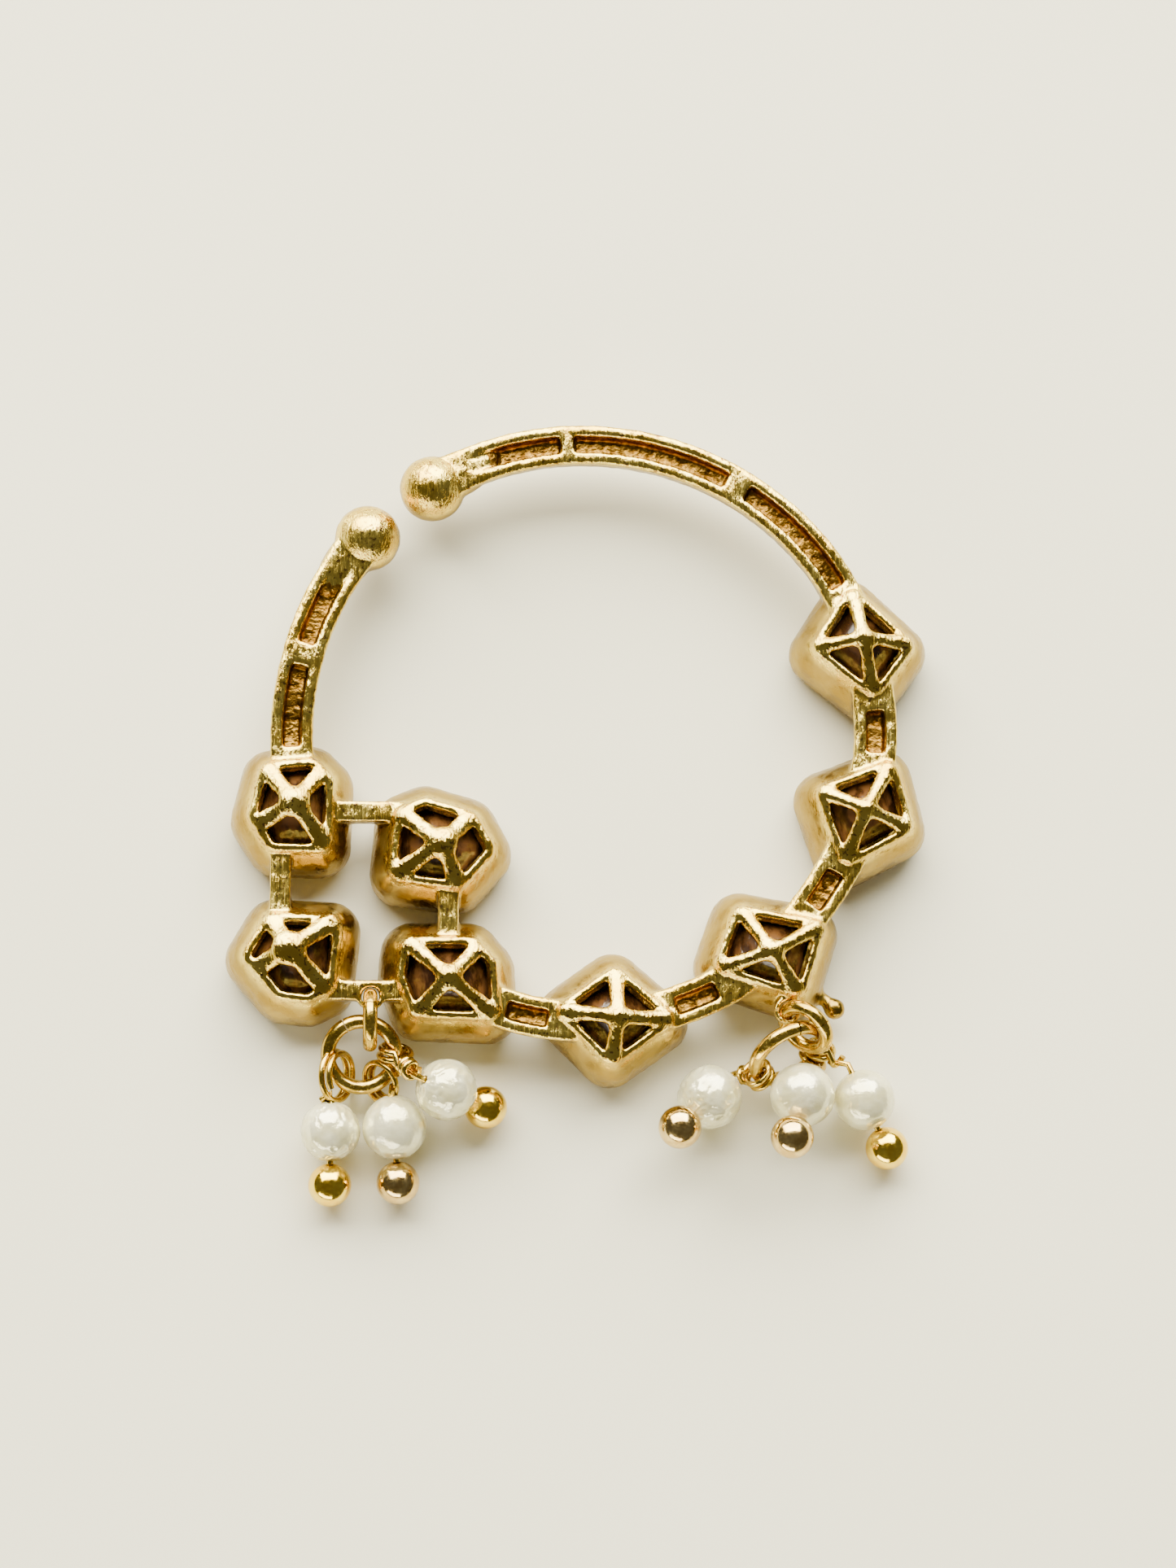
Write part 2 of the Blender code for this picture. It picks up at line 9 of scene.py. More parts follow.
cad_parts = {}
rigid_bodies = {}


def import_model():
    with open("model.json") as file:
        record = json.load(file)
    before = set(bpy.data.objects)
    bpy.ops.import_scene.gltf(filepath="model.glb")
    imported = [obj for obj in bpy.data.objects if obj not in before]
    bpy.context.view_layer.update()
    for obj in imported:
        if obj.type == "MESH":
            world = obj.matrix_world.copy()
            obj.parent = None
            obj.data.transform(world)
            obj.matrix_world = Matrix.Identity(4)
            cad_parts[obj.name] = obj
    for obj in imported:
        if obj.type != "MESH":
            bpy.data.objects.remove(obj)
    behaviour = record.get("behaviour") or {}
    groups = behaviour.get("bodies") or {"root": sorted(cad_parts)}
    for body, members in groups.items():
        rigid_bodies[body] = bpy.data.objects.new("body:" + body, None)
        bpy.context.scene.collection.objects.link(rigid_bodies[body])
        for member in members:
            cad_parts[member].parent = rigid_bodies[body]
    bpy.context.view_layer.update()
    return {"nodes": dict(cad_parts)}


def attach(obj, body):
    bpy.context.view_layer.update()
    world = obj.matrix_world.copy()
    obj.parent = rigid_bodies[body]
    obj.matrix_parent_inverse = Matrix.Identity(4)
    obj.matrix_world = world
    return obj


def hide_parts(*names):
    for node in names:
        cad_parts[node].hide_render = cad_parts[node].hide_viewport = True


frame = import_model()

# The camera looks almost straight down on the ring from a hand's breadth above it, tipped a little
# towards the drops, so that the far sides of the cups show below their frames.
LOOK_AT = Vector((0.000241, 0.001028, 0.003))
LOOK_BACK = Vector((-0.06, -0.17, 0.983)).normalized()
LOOK_DISTANCE = 0.16
FILM_HEIGHT = 36
LENS_LENGTH = 85.7
NEAREST_SEEN = 0.005
camera_data = bpy.data.cameras.new("camera")
camera_data.sensor_fit = "VERTICAL"
camera_data.sensor_height = FILM_HEIGHT
camera_data.lens = LENS_LENGTH
camera_data.clip_start = NEAREST_SEEN
camera = bpy.data.objects.new("camera", camera_data)
bpy.context.scene.collection.objects.link(camera)
look_right = Vector((0, 1, 0)).cross(LOOK_BACK).normalized()
look_axes = Matrix((look_right, LOOK_BACK.cross(look_right), LOOK_BACK)).transposed()
camera.matrix_world = Matrix.Translation(LOOK_AT + LOOK_BACK * LOOK_DISTANCE) @ look_axes.to_4x4()
bpy.context.scene.camera = camera

# The light is one wide window beyond the top of the hoop, low enough that flat tops stay dark and
# every slope that faces it turns cream, with a weak fill from the drops' side.
ROOM_COLOUR = (1.0, 0.95, 0.80)
ROOM_STRENGTH = 0.125


def softbox(name, place, width, height, watts, colour):
    """A soft rectangular light at a place, turned to the middle of the scene."""
    light = bpy.data.lights.new(name, "AREA")
    light.shape = "RECTANGLE"
    light.size = width
    light.size_y = height
    light.energy = watts
    light.color = colour
    lamp = bpy.data.objects.new(name, light)
    bpy.context.scene.collection.objects.link(lamp)
    facing = Vector(place).to_track_quat("Z", "Y").to_matrix().to_4x4()
    lamp.matrix_world = Matrix.Translation(place) @ facing


softbox("window", place=(-0.04, 0.42, 0.34), width=0.9, height=0.50, watts=24.0,
        colour=(1.0, 0.96, 0.84))
softbox("fill", place=(-0.16, -0.42, 0.12), width=0.5, height=0.12, watts=2.0,
        colour=(1.0, 0.94, 0.78))
room = bpy.data.worlds.new("room")
room.use_nodes = True
room_light = room.node_tree.nodes["Background"]
room_light.inputs["Color"].default_value = (*ROOM_COLOUR, 1.0)
room_light.inputs["Strength"].default_value = ROOM_STRENGTH
bpy.context.scene.world = room

# The ring lies on a plain pale table, a little warmer than white. Its top is dull, with faint
# clouds of a slightly deeper tone.
TABLE_SIDE = 1.6
TABLE_CLOUD = 0.03
TABLE_TONES = ((0.87, 0.84, 0.645), (0.89, 0.86, 0.67))


def finish(name, colour, metallic, roughness):
    """A new finish on the plain shader, with its node tree and shader."""
    made = bpy.data.materials.new(name)
    made.use_nodes = True
    shader = made.node_tree.nodes["Principled BSDF"]
    shader.inputs["Base Color"].default_value = (*colour, 1.0)
    shader.inputs["Metallic"].default_value = metallic
    shader.inputs["Roughness"].default_value = roughness
    return made, made.node_tree, shader


def show(name, builder, materials, smooth_angle=None):
    """Turns a finished bmesh into an object with its materials."""
    mesh = bpy.data.meshes.new(name)
    builder.to_mesh(mesh)
    builder.free()
    for material in materials:
        mesh.materials.append(material)
    mesh.shade_smooth()
    if smooth_angle:
        mesh.set_sharp_from_angle(angle=math.radians(smooth_angle))
    made = bpy.data.objects.new(name, mesh)
    bpy.context.scene.collection.objects.link(made)
    return made


def grain(tree, size, detail=2.0, stretch=(1.0, 1.0, 1.0), turn=0.0):
    """Noise on the piece's own coordinates with grains of this size in metres."""
    place = tree.nodes.new("ShaderNodeTexCoord")
    mapping = tree.nodes.new("ShaderNodeMapping")
    mapping.inputs["Rotation"].default_value = (0, 0, math.radians(turn))
    mapping.inputs["Scale"].default_value = stretch
    texture = tree.nodes.new("ShaderNodeTexNoise")
    texture.inputs["Scale"].default_value = 1 / size
    texture.inputs["Detail"].default_value = detail
    tree.links.new(place.outputs["Object"], mapping.inputs["Vector"])
    tree.links.new(mapping.outputs["Vector"], texture.inputs["Vector"])
    return texture.outputs["Fac"]


def ramp(tree, source, low, high, first=0.0, last=1.0):
    """Maps a value between two limits to a value between two others."""
    node = tree.nodes.new("ShaderNodeMapRange")
    node.interpolation_type = "SMOOTHSTEP"
    node.inputs["From Min"].default_value = low
    node.inputs["From Max"].default_value = high
    node.inputs["To Min"].default_value = first
    node.inputs["To Max"].default_value = last
    tree.links.new(source, node.inputs["Value"])
    return node.outputs["Result"]


def blend_colours(tree, share, first, last):
    """Mixes two colours, each a plain colour or another node's output."""
    node = tree.nodes.new("ShaderNodeMix")
    node.data_type = "RGBA"
    tree.links.new(share, node.inputs["Factor"])
    for socket, colour in (("A", first), ("B", last)):
        slot = next(s for s in node.inputs if s.name == socket and s.type == "RGBA")
        if isinstance(colour, tuple):
            slot.default_value = (*colour, 1.0)
        else:
            tree.links.new(colour, slot)
    return next(s for s in node.outputs if s.type == "RGBA")


table_finish, table_tree, table_shader = finish("table", (0.88, 0.85, 0.66), 0.0, 0.8)
tone = ramp(table_tree, grain(table_tree, TABLE_CLOUD, 3.0), 0.3, 0.7)
table_colour = blend_colours(table_tree, tone, *TABLE_TONES)
table_tree.links.new(table_colour, table_shader.inputs["Base Color"])
builder = bmesh.new()
bmesh.ops.create_grid(builder, x_segments=2, y_segments=2, size=TABLE_SIDE / 2)
table = show("table", builder, [table_finish])

# The settings are the heart of the casting: each is a cup that flares from a rounded frame at the
# back down to the stone's edge, with a thin ledge inside it. All eight are cast in one piece with
# the hoop.
HOOP_RADIUS = 0.0128
HOOP_CENTRE = Vector((0.0003009, 0.0032477))
GALLERY_REACH = 0.0025
SETTING_DEPTH = 0.00305
FRAME_WIDTH = 0.00042
FRAME_SLOPE = 0.00012
FRAME_EDGE = SETTING_DEPTH * 0.90
INNER_CORNER = 0.00016
CORNER_STEP = math.radians(10)
CUP_FLARE = 0.00078
CUP_WALL = 0.00035
CUP_ROWS = 14
CUP_LIP = CUP_WALL * 1.1
LEDGE_REACH = 0.00052
# how far below FRAME_EDGE the ledge's underside, its upper side and its root lie
LEDGE_LOW, LEDGE_HIGH, LEDGE_ROOT = 0.00030, 0.00022, 0.00012
# share of the frame's width and of FRAME_SLOPE, from its inner edge outwards
FRAME_SECTION = ((1.0, 1.0), (0.85, 0.0), (0.22, 0.5), (0.0, 1.4))
# share of CUP_FLARE and share of SETTING_DEPTH, from the lip up to the frame
CUP_SECTION = ((0.74, 0.065), (0.94, 0.14), (1.0, 0.27), (0.97, 0.41), (0.70, 0.64), (0.22, 0.83))

# the hub's bearing and its distance as a share of HOOP_RADIUS, the frame's corners as bearings and
# shares of GALLERY_REACH, the ribs' bearings, and the shares of FRAME_WIDTH and RIB_WIDTH
Setting = namedtuple("Setting", "name bearing distance corners ribs frame_share rib_share")
SETTINGS = (
    Setting("stone_1", -165.8, 1.014,
            ((-164, 0.85), (-117, 0.94), (-53, 1.07), (34, 0.83), (68, 0.88), (129, 0.93)),
            (-150, -53, 51, 129), 0.95, 0.87),
    Setting("stone_2", -142.3, 0.623,
            ((-146, 1.12), (-67, 0.87), (-6, 0.96), (44, 0.82), (109, 0.88), (143, 1.02)),
            (-146, -67, 44, 143), 0.95, 0.88),
    Setting("stone_3", -143.4, 1.239,
            ((-172, 0.85), (-103, 0.88), (-70, 0.98), (-42, 1.05), (33, 1.10), (121, 0.76)),
            (-150, -47, 33, 121), 0.95, 0.92),
    Setting("stone_4", -119.3, 0.952,
            ((179, 0.90), (-133, 0.93), (-39, 1.16), (20, 0.88), (58, 0.86), (139, 1.10)),
            (-133, -39, 47, 139), 0.92, 0.80),
    Setting("stone_5", -84.4, 0.963,
            ((-97, 0.88), (-1, 1.08), (92, 0.93), (173, 1.14)),
            (-97, -1, 92, 173), 0.86, 0.78),
    Setting("stone_6", -50.4, 0.955,
            ((-163, 1.07), (-56, 0.98), (29, 1.12), (126, 1.04)),
            (-163, -56, 29, 126), 0.86, 0.74),
    Setting("stone_7", -15.2, 0.962,
            ((-111, 1.11), (-22, 0.94), (60, 1.08), (156, 0.97)),
            (-111, -22, 60, 156), 0.86, 0.72),
    Setting("stone_8", 19.7, 0.985,
            ((-171, 0.96), (-79, 1.10), (-4, 0.97), (101, 1.03)),
            (-171, -79, -4, 101), 0.86, 0.72),
)


def planar(bearing, distance):
    """A flat step of this length along a bearing in degrees."""
    angle = math.radians(bearing)
    return Vector((math.cos(angle), math.sin(angle))) * distance


def hub_of(setting):
    """The point over the stone where the setting's ribs meet."""
    return HOOP_CENTRE + planar(setting.bearing, setting.distance * HOOP_RADIUS)


def corners_of(setting):
    """The frame's corners in order round the hub."""
    corners = [planar(bearing, share * GALLERY_REACH) for bearing, share in setting.corners]
    corners.sort(key=lambda corner: math.atan2(corner.y, corner.x))
    return [hub_of(setting) + corner for corner in corners]


def outward(first, second):
    """The direction square to the side from one corner to the next, away from the middle."""
    step = (second - first).normalized()
    return Vector((step.y, -step.x))


def frame_ring(builder, setting, inset, level):
    """A ring of vertices this far in from the frame's outer edge, its corners rounded."""
    corners = corners_of(setting)
    ring = []
    for index, corner in enumerate(corners):
        before = outward(corners[index - 1], corner)
        after = outward(corner, corners[(index + 1) % len(corners)])
        turn = before.angle(after)
        centre = corner - (before + after) * (inset + INNER_CORNER) / (1 + before.dot(after))
        steps = max(2, round(turn / CORNER_STEP))
        for step in range(steps + 1):
            normal = before @ Matrix.Rotation(-turn * step / steps, 2)
            ring.append(builder.verts.new((*(centre + normal * INNER_CORNER), level)))
    for first, second in zip(ring, ring[1:] + ring[:1]):
        builder.edges.new((first, second))
    return ring


def ring_edges(builder, ring):
    """The edges round a closed ring of vertices."""
    return [builder.edges.get(pair) for pair in zip(ring, ring[1:] + ring[:1])]


def next_ring(builder, ring, spread, rise):
    """Extrudes a ring and moves the copy outwards and up."""
    grown = bmesh.ops.extrude_edge_only(builder, edges=ring_edges(builder, ring))["geom"]
    fresh = {item for item in grown if isinstance(item, bmesh.types.BMVert)}
    copy = []
    for vert in ring:
        near = [edge.other_vert(vert) for edge in vert.link_edges]
        copy.append(next(other for other in near if other in fresh))
    moves = []
    for index, vert in enumerate(copy):
        before = outward(copy[index - 1].co.xy, vert.co.xy)
        after = outward(vert.co.xy, copy[(index + 1) % len(copy)].co.xy)
        moves.append((before + after) * spread / (1 + before.dot(after)))
    for vert, move in zip(copy, moves):
        vert.co += Vector((*move, rise))
    return copy


def follow_section(builder, ring, section):
    """Extrudes a ring through the rest of a section of (spread, level) rows."""
    for (spread, level), (wider, higher) in zip(section, section[1:]):
        ring = next_ring(builder, ring, wider - spread, higher - level)
    return ring


def eased_rows(rows, count):
    """The rows of a section, drawn again as a smooth curve with more of them."""
    points = [Vector(row) for row in rows]
    points = [points[0] * 2 - points[1], *points, points[-1] * 2 - points[-2]]
    eased = []
    for index in range(count):
        place = index * (len(rows) - 1) / (count - 1)
        span = min(int(place), len(rows) - 2)
        part = place - span
        a, b, c, d = points[span:span + 4]
        eased.append(((b * 2) + (c - a) * part + (a * 2 - b * 5 + c * 4 - d) * part**2
                      + (b * 3 - a - c * 3 + d) * part**3) / 2)
    return eased


cup_outside = [(share * CUP_FLARE, height * SETTING_DEPTH) for share, height in CUP_SECTION]
cup_outside = [tuple(row) for row in eased_rows(cup_outside, CUP_ROWS)]
cup_inside = [(spread - CUP_WALL, level) for spread, level in cup_outside[3:]]


def cup_section(width):
    """The rows round a cup's whole wall, from its frame's inner edge and back to it."""
    return [
        *((-width * share, SETTING_DEPTH - FRAME_SLOPE * fall) for share, fall in FRAME_SECTION),
        (0.0, FRAME_EDGE),
        *reversed(cup_outside),
        (cup_outside[0][0] - CUP_LIP, cup_outside[0][1]),
        (cup_inside[0][0] - CUP_WALL * 0.6, cup_outside[2][1]),
        *cup_inside,
        (-LEDGE_REACH, FRAME_EDGE - LEDGE_LOW),
        (-LEDGE_REACH, FRAME_EDGE - LEDGE_HIGH),
        (-width * 0.7, FRAME_EDGE - LEDGE_ROOT),
        (-width, FRAME_EDGE),
    ]


casting = bmesh.new()
for setting in SETTINGS:
    width = FRAME_WIDTH * setting.frame_share
    rows = cup_section(width)
    first_ring = frame_ring(casting, setting, width, rows[0][1])
    last_ring = follow_section(casting, first_ring, rows)
    seam = ring_edges(casting, first_ring) + ring_edges(casting, last_ring)
    bmesh.ops.bridge_loops(casting, edges=seam)

# Four broad ribs rise from each frame and run together over the stone, in a point that a low web
# between them smooths over. They are cast with the cup and were polished, so their edges are round.
RIB_WIDTH = 0.00090
RIB_DEPTH = 0.00042
RIB_ROUND = 0.00022
HUB_RISE = 0.00075
HUB_RADIUS = 0.00044
WEB_REACH = 0.00095
WEB_SWELL = 0.00034
WEB_SINK = 0.00005


def reach_along(setting, bearing):
    """How far the frame's middle line lies from the hub at this bearing."""
    hub = hub_of(setting)
    direction = planar(bearing, 1.0)
    corners = corners_of(setting)
    reaches = []
    for index, corner in enumerate(corners):
        normal = outward(corners[index - 1], corner)
        slant = normal.dot(direction)
        if slant > 0:
            reaches.append(((corner - hub).dot(normal) - FRAME_WIDTH / 2) / slant)
    return min(reaches)


def add_rib(builder, setting, bearing):
    """A rounded bar from the hub down to the frame."""
    start = -HUB_RADIUS / 3
    length = reach_along(setting, bearing) - start
    verts = bmesh.ops.create_cube(builder, size=1.0)["verts"]
    sloped = Matrix.Identity(4)
    sloped[2][0] = -HUB_RISE / length
    place = (Matrix.Translation((*hub_of(setting), SETTING_DEPTH + HUB_RISE))
             @ Matrix.Rotation(math.radians(bearing), 4, "Z")
             @ Matrix.Translation((start, 0, 0)) @ sloped
             @ Matrix.Diagonal((length, RIB_WIDTH * setting.rib_share, RIB_DEPTH, 1.0))
             @ Matrix.Translation((0.5, 0, -0.5)))
    ridge = [edge for edge in {edge for vert in verts for edge in vert.link_edges}
             if all(vert.co.z > 0 for vert in edge.verts)
             and abs(edge.verts[0].co.x - edge.verts[1].co.x) > 0.5]
    bmesh.ops.transform(builder, matrix=place, verts=verts)
    bmesh.ops.bevel(builder, geom=ridge, offset=RIB_ROUND, offset_type="OFFSET", segments=3,
                    profile=0.5, affect="EDGES", material=-1)


for setting in SETTINGS:
    for bearing in setting.ribs:
        add_rib(casting, setting, bearing)
    reach = WEB_REACH * setting.rib_share**2
    web = Matrix.Translation((*hub_of(setting), SETTING_DEPTH + HUB_RISE - WEB_SINK - WEB_SWELL))
    bmesh.ops.create_uvsphere(casting, u_segments=32, v_segments=20, radius=1.0,
                              matrix=web @ Matrix.Diagonal((reach, reach, WEB_SWELL, 1.0)))

# The hoop is a flat band cast with long pockets in its back to save metal. It is open at the top
# left, runs down the right through the settings to the fourth, and has a short arm on the left.
BAND_WIDTH = 0.00178
BAND_THICKNESS = 0.0013
BAND_TOP = SETTING_DEPTH - 0.00006
RIM_BEVEL = 0.00016
POCKET_WIDTH = 0.00078
POCKET_DEPTH = 0.0006
POCKET_LIP = 0.00005
BAND_STEP = 0.5
BAND_DROP = 0.0002
ROUTE_SLACK = 20
# bearing, distance as a share of HOOP_RADIUS, share of BAND_WIDTH, share of BAND_DROP
HOOP_ROUTE = (
    (122, 1.003, 1.12, 0), (112, 1.003, 1.0, 0), (60, 1.0, 0.96, 0), (40, 0.998, 0.96, 0),
    (30, 0.996, 0.96, 0.8), (20, 0.985, 1.0, 1), (1, 0.972, 1.07, 1), (-15, 0.958, 1.07, 1),
    (-33, 0.948, 1.05, 1), (-50, 0.952, 1.03, 1), (-67, 0.960, 1.0, 1), (-84, 0.966, 1.0, 1),
    (-102, 0.970, 1.0, 1), (-118, 0.965, 1.0, 1),
)
ARM_ROUTE = (
    (138, 1.008, 1.12, 0), (148, 1.0, 1.03, 0), (170, 0.995, 1.03, 0), (180, 0.997, 1.04, 1),
    (192, 1.0, 1.06, 1),
)
# the bearings that each pocket runs between
HOOP_POCKETS = (
    (114.5, 95.6), (92.8, 61.8), (57.4, 31.5),
    (5.4, -3.2), (-29.0, -37.6), (-63.4, -72.3), (-97.8, -106.6),
)
ARM_POCKETS = ((145.0, 162.4), (167.2, 183.0))


def at_bearing(route, bearing):
    """The route's distance, width and drop shares at this bearing, eased between its rows."""
    for first, second in zip(route, route[1:]):
        low, high = sorted((first[0], second[0]))
        if low <= bearing <= high:
            share = (bearing - first[0]) / (second[0] - first[0])
            share = share * share * (3 - 2 * share)
            return [a + (b - a) * share for a, b in zip(first[1:], second[1:])]
    raise ValueError(f"bearing {bearing} is off the route")


def bearing_of(point, route):
    """The point's bearing about the hoop's centre, on the route's own count of degrees."""
    flat = point.xy - HOOP_CENTRE
    bearing = math.degrees(math.atan2(flat.y, flat.x))
    low, high = sorted((route[0][0], route[-1][0]))
    while bearing < low - ROUTE_SLACK:
        bearing += 360
    return min(max(bearing, low), high)


def add_band(name, route, pockets):
    """A band spun round the hoop's centre, eased onto its route, its pockets pressed in."""
    builder = bmesh.new()
    half = BAND_WIDTH / 2
    rows = ((-half + RIM_BEVEL, BAND_TOP - BAND_THICKNESS), (-half, BAND_TOP - RIM_BEVEL),
            (-half + RIM_BEVEL / 3, BAND_TOP - RIM_BEVEL / 3), (-half + RIM_BEVEL, BAND_TOP),
            (-POCKET_WIDTH / 2, BAND_TOP), (POCKET_WIDTH / 2, BAND_TOP),
            (half - RIM_BEVEL, BAND_TOP), (half - RIM_BEVEL / 3, BAND_TOP - RIM_BEVEL / 3),
            (half, BAND_TOP - RIM_BEVEL), (half - RIM_BEVEL, BAND_TOP - BAND_THICKNESS))
    section = []
    for offset, level in rows:
        flat = HOOP_CENTRE + planar(route[0][0], HOOP_RADIUS + offset)
        section.append(builder.verts.new((*flat, level)))
    cap = builder.faces.new(section)
    sweep = route[-1][0] - route[0][0]
    bmesh.ops.spin(builder, geom=[cap], cent=(*HOOP_CENTRE, 0), axis=(0, 0, 1),
                   angle=math.radians(sweep), steps=round(abs(sweep) / BAND_STEP), use_merge=False)
    bmesh.ops.recalc_face_normals(builder, faces=builder.faces)
    strip = []
    for face in builder.faces:
        across = (face.calc_center_median().xy - HOOP_CENTRE).length - HOOP_RADIUS
        if face.normal.z > 0.9 and abs(across) < POCKET_WIDTH / 4:
            strip.append(face)
    for ends in pockets:
        low, high = sorted(ends)
        floor = [face for face in strip
                 if low <= bearing_of(face.calc_center_median(), route) <= high]
        bmesh.ops.inset_region(builder, faces=floor, thickness=POCKET_LIP, depth=-POCKET_DEPTH,
                               use_boundary=True, use_even_offset=True)
    for vert in builder.verts:
        bearing = bearing_of(vert.co, route)
        distance, width, drop = at_bearing(route, bearing)
        flat = vert.co.xy - HOOP_CENTRE
        offset = (flat.length - HOOP_RADIUS) * width
        vert.co.xy = HOOP_CENTRE + flat.normalized() * (distance * HOOP_RADIUS + offset)
        vert.co.z -= drop * BAND_DROP
    return show(name, builder, [])


hoop_pieces = [add_band("hoop_band", HOOP_ROUTE, HOOP_POCKETS),
               add_band("arm_band", ARM_ROUTE, ARM_POCKETS)]

# Four plain narrow bars tie the square of settings together on the left. They are cast with the
# cups, lie a little lower than the frames and have slightly rounded edges.
BAR_WIDTH = 0.00088
BAR_THICKNESS = 0.00104
BAR_DROP = 0.00024
# the two settings, and where the bar starts and ends from their hubs as shares of GALLERY_REACH
BARS = (
    (0, 1, (0.40, -0.10), (-0.40, 0.576)), (0, 2, (-0.228, -0.40), (-0.168, 0.40)),
    (1, 3, (0.128, -0.40), (-0.012, 0.40)), (2, 3, (0.40, -0.664), (-0.40, -0.20)),
)
for number, (first, second, leave, arrive) in enumerate(BARS):
    start = hub_of(SETTINGS[first]) + Vector(leave) * GALLERY_REACH
    end = hub_of(SETTINGS[second]) + Vector(arrive) * GALLERY_REACH
    way = end - start
    builder = bmesh.new()
    verts = bmesh.ops.create_cube(builder, size=1.0)["verts"]
    middle = (*((start + end) / 2), BAND_TOP - BAR_DROP - BAR_THICKNESS / 2)
    place = (Matrix.Translation(middle) @ Matrix.Rotation(math.atan2(way.y, way.x), 4, "Z")
             @ Matrix.Diagonal((way.length, BAR_WIDTH, BAR_THICKNESS, 1.0)))
    bmesh.ops.transform(builder, matrix=place, verts=verts)
    bmesh.ops.bevel(builder, geom=list(builder.edges), offset=RIM_BEVEL / 2, segments=2,
                    offset_type="OFFSET", profile=0.5, affect="EDGES", material=-1)
    hoop_pieces.append(show(f"bar_{number}", builder, []))

# Two small flat eyelets stand out from the casting for the drops, and beside the right one is a
# little round lug, which is left of the casting's feed. Both open ends of the hoop are balls.
LINK_WIRE = 0.00062
EYELET_PLAY = 0.00008
EYELET_HOLE = LINK_WIRE / 2 + EYELET_PLAY
EYELET_WALL = 0.0002
EYELET_THICKNESS = 0.0005
EYELETS = ((-0.725, -0.888), (0.664, -0.927))
BALL_END_DIAMETER = 0.00285
BALL_END_SINK = 0.0008
NECK_SIZE = (0.00100, 0.0023, 0.00070)
NECK_SINK = NECK_SIZE[2] * 0.96
NECK_TURN = 4.6
LUG_PLACE = (0.835, -0.909)
LUG_FOOT = (0.769, -0.853)
LUG_HEIGHT = 0.0012
LUG_DIAMETER = 0.00098
LUG_NECK = 0.0006
hollows = bpy.data.collections.new("hollows")
bpy.context.scene.collection.children.link(hollows)
for number, eyelet in enumerate(EYELETS):
    flat = HOOP_CENTRE + Vector(eyelet) * HOOP_RADIUS
    for name, radius, thickness in (("eyelet", EYELET_HOLE + EYELET_WALL, EYELET_THICKNESS),
                                    ("hole", EYELET_HOLE, SETTING_DEPTH * 2)):
        builder = bmesh.new()
        level = BAND_TOP - BAR_DROP - EYELET_THICKNESS / 2
        bmesh.ops.create_cone(builder, cap_ends=True, segments=40, radius1=radius, radius2=radius,
                              depth=thickness, matrix=Matrix.Translation((*flat, level)))
        made = show(f"{name}_{number}", builder, [])
        if name == "eyelet":
            hoop_pieces.append(made)
        else:
            hollows.objects.link(made)
for route in (HOOP_ROUTE, ARM_ROUTE):
    bearing, distance = route[0][0], route[0][1] * HOOP_RADIUS
    end = Matrix.Translation((*(HOOP_CENTRE + planar(bearing, distance)), BAND_TOP - BALL_END_SINK))
    bmesh.ops.create_uvsphere(casting, u_segments=40, v_segments=24, radius=BALL_END_DIAMETER / 2,
                              matrix=end)
    bearing += NECK_TURN if route[-1][0] > bearing else -NECK_TURN
    neck = Matrix.Translation((*(HOOP_CENTRE + planar(bearing, distance)), BAND_TOP - NECK_SINK))
    turn = Matrix.Rotation(math.radians(bearing), 4, "Z")
    bmesh.ops.create_uvsphere(casting, u_segments=40, v_segments=24, radius=1.0,
                              matrix=neck @ turn @ Matrix.Diagonal((*NECK_SIZE, 1.0)))
lug = Vector((*(HOOP_CENTRE + Vector(LUG_PLACE) * HOOP_RADIUS), LUG_HEIGHT))
foot = Vector((*(HOOP_CENTRE + Vector(LUG_FOOT) * HOOP_RADIUS), LUG_HEIGHT))
bmesh.ops.create_uvsphere(casting, u_segments=24, v_segments=14, radius=LUG_DIAMETER / 2,
                          matrix=Matrix.Translation(lug))
turn = (lug - foot).to_track_quat("Z", "Y").to_matrix().to_4x4()
bmesh.ops.create_cone(casting, cap_ends=True, segments=20, radius1=LUG_NECK / 2,
                      radius2=LUG_NECK / 2, depth=(lug - foot).length,
                      matrix=Matrix.Translation((lug + foot) / 2) @ turn)

# The band and bars stop in the cups' walls, and the whole casting is then one skin, with soft
# fillets and slightly uneven rims. It is gilt: satin low down, its darker tone there partly duller
# gilt and partly painted shade, with blotches of painted contact shade near the table; hammered and
# burnished on top; and darker and rough in the band's pockets.
# the grid that the skin is drawn on, the share of its faces that is kept, and how often the whole,
# the cups' walls and the ribs are smoothed
SKIN_GRAIN = 0.000075
SKIN_SHARE = 0.30
SKIN_SMOOTHING = 4
CUP_SMOOTHING = 14
CUP_LOW, CUP_HIGH = 0.0004, 0.0022
RIB_SMOOTHING = 16
RIB_FOOT = SETTING_DEPTH + 0.00008
RIM_WAVE = 0.00002
LONG_WAVES, SHORT_WAVES = 2600, 6500
# the heights where satin turns to polish, where polish turns to a burnish and where the painted
# contact shade low down ends, and how far up the hoop its brushed open ends start
POLISH_HEIGHTS = (0.00235, 0.00280)
BURNISH_HEIGHTS = (BAND_TOP - 0.0001, SETTING_DEPTH + 0.0001)
CONTACT_SHADE_HEIGHTS = (0.0005, 0.0014)
OPEN_ENDS = (0.0085, 0.0095)
# the satin gilt's two tones, partly its duller finish and partly painted shade on the lower walls
SATIN_GILT_AND_SHADE = ((0.30, 0.19, 0.028), (0.42, 0.29, 0.062))
BRIGHT_GILT = ((0.72, 0.48, 0.065), (0.90, 0.68, 0.14))
PIT_BROWN = (0.34, 0.20, 0.05)
CONTACT_SHADE_BROWN = (0.16, 0.085, 0.018)
LINING_BROWN = ((0.12, 0.052, 0.005), (0.34, 0.18, 0.026))
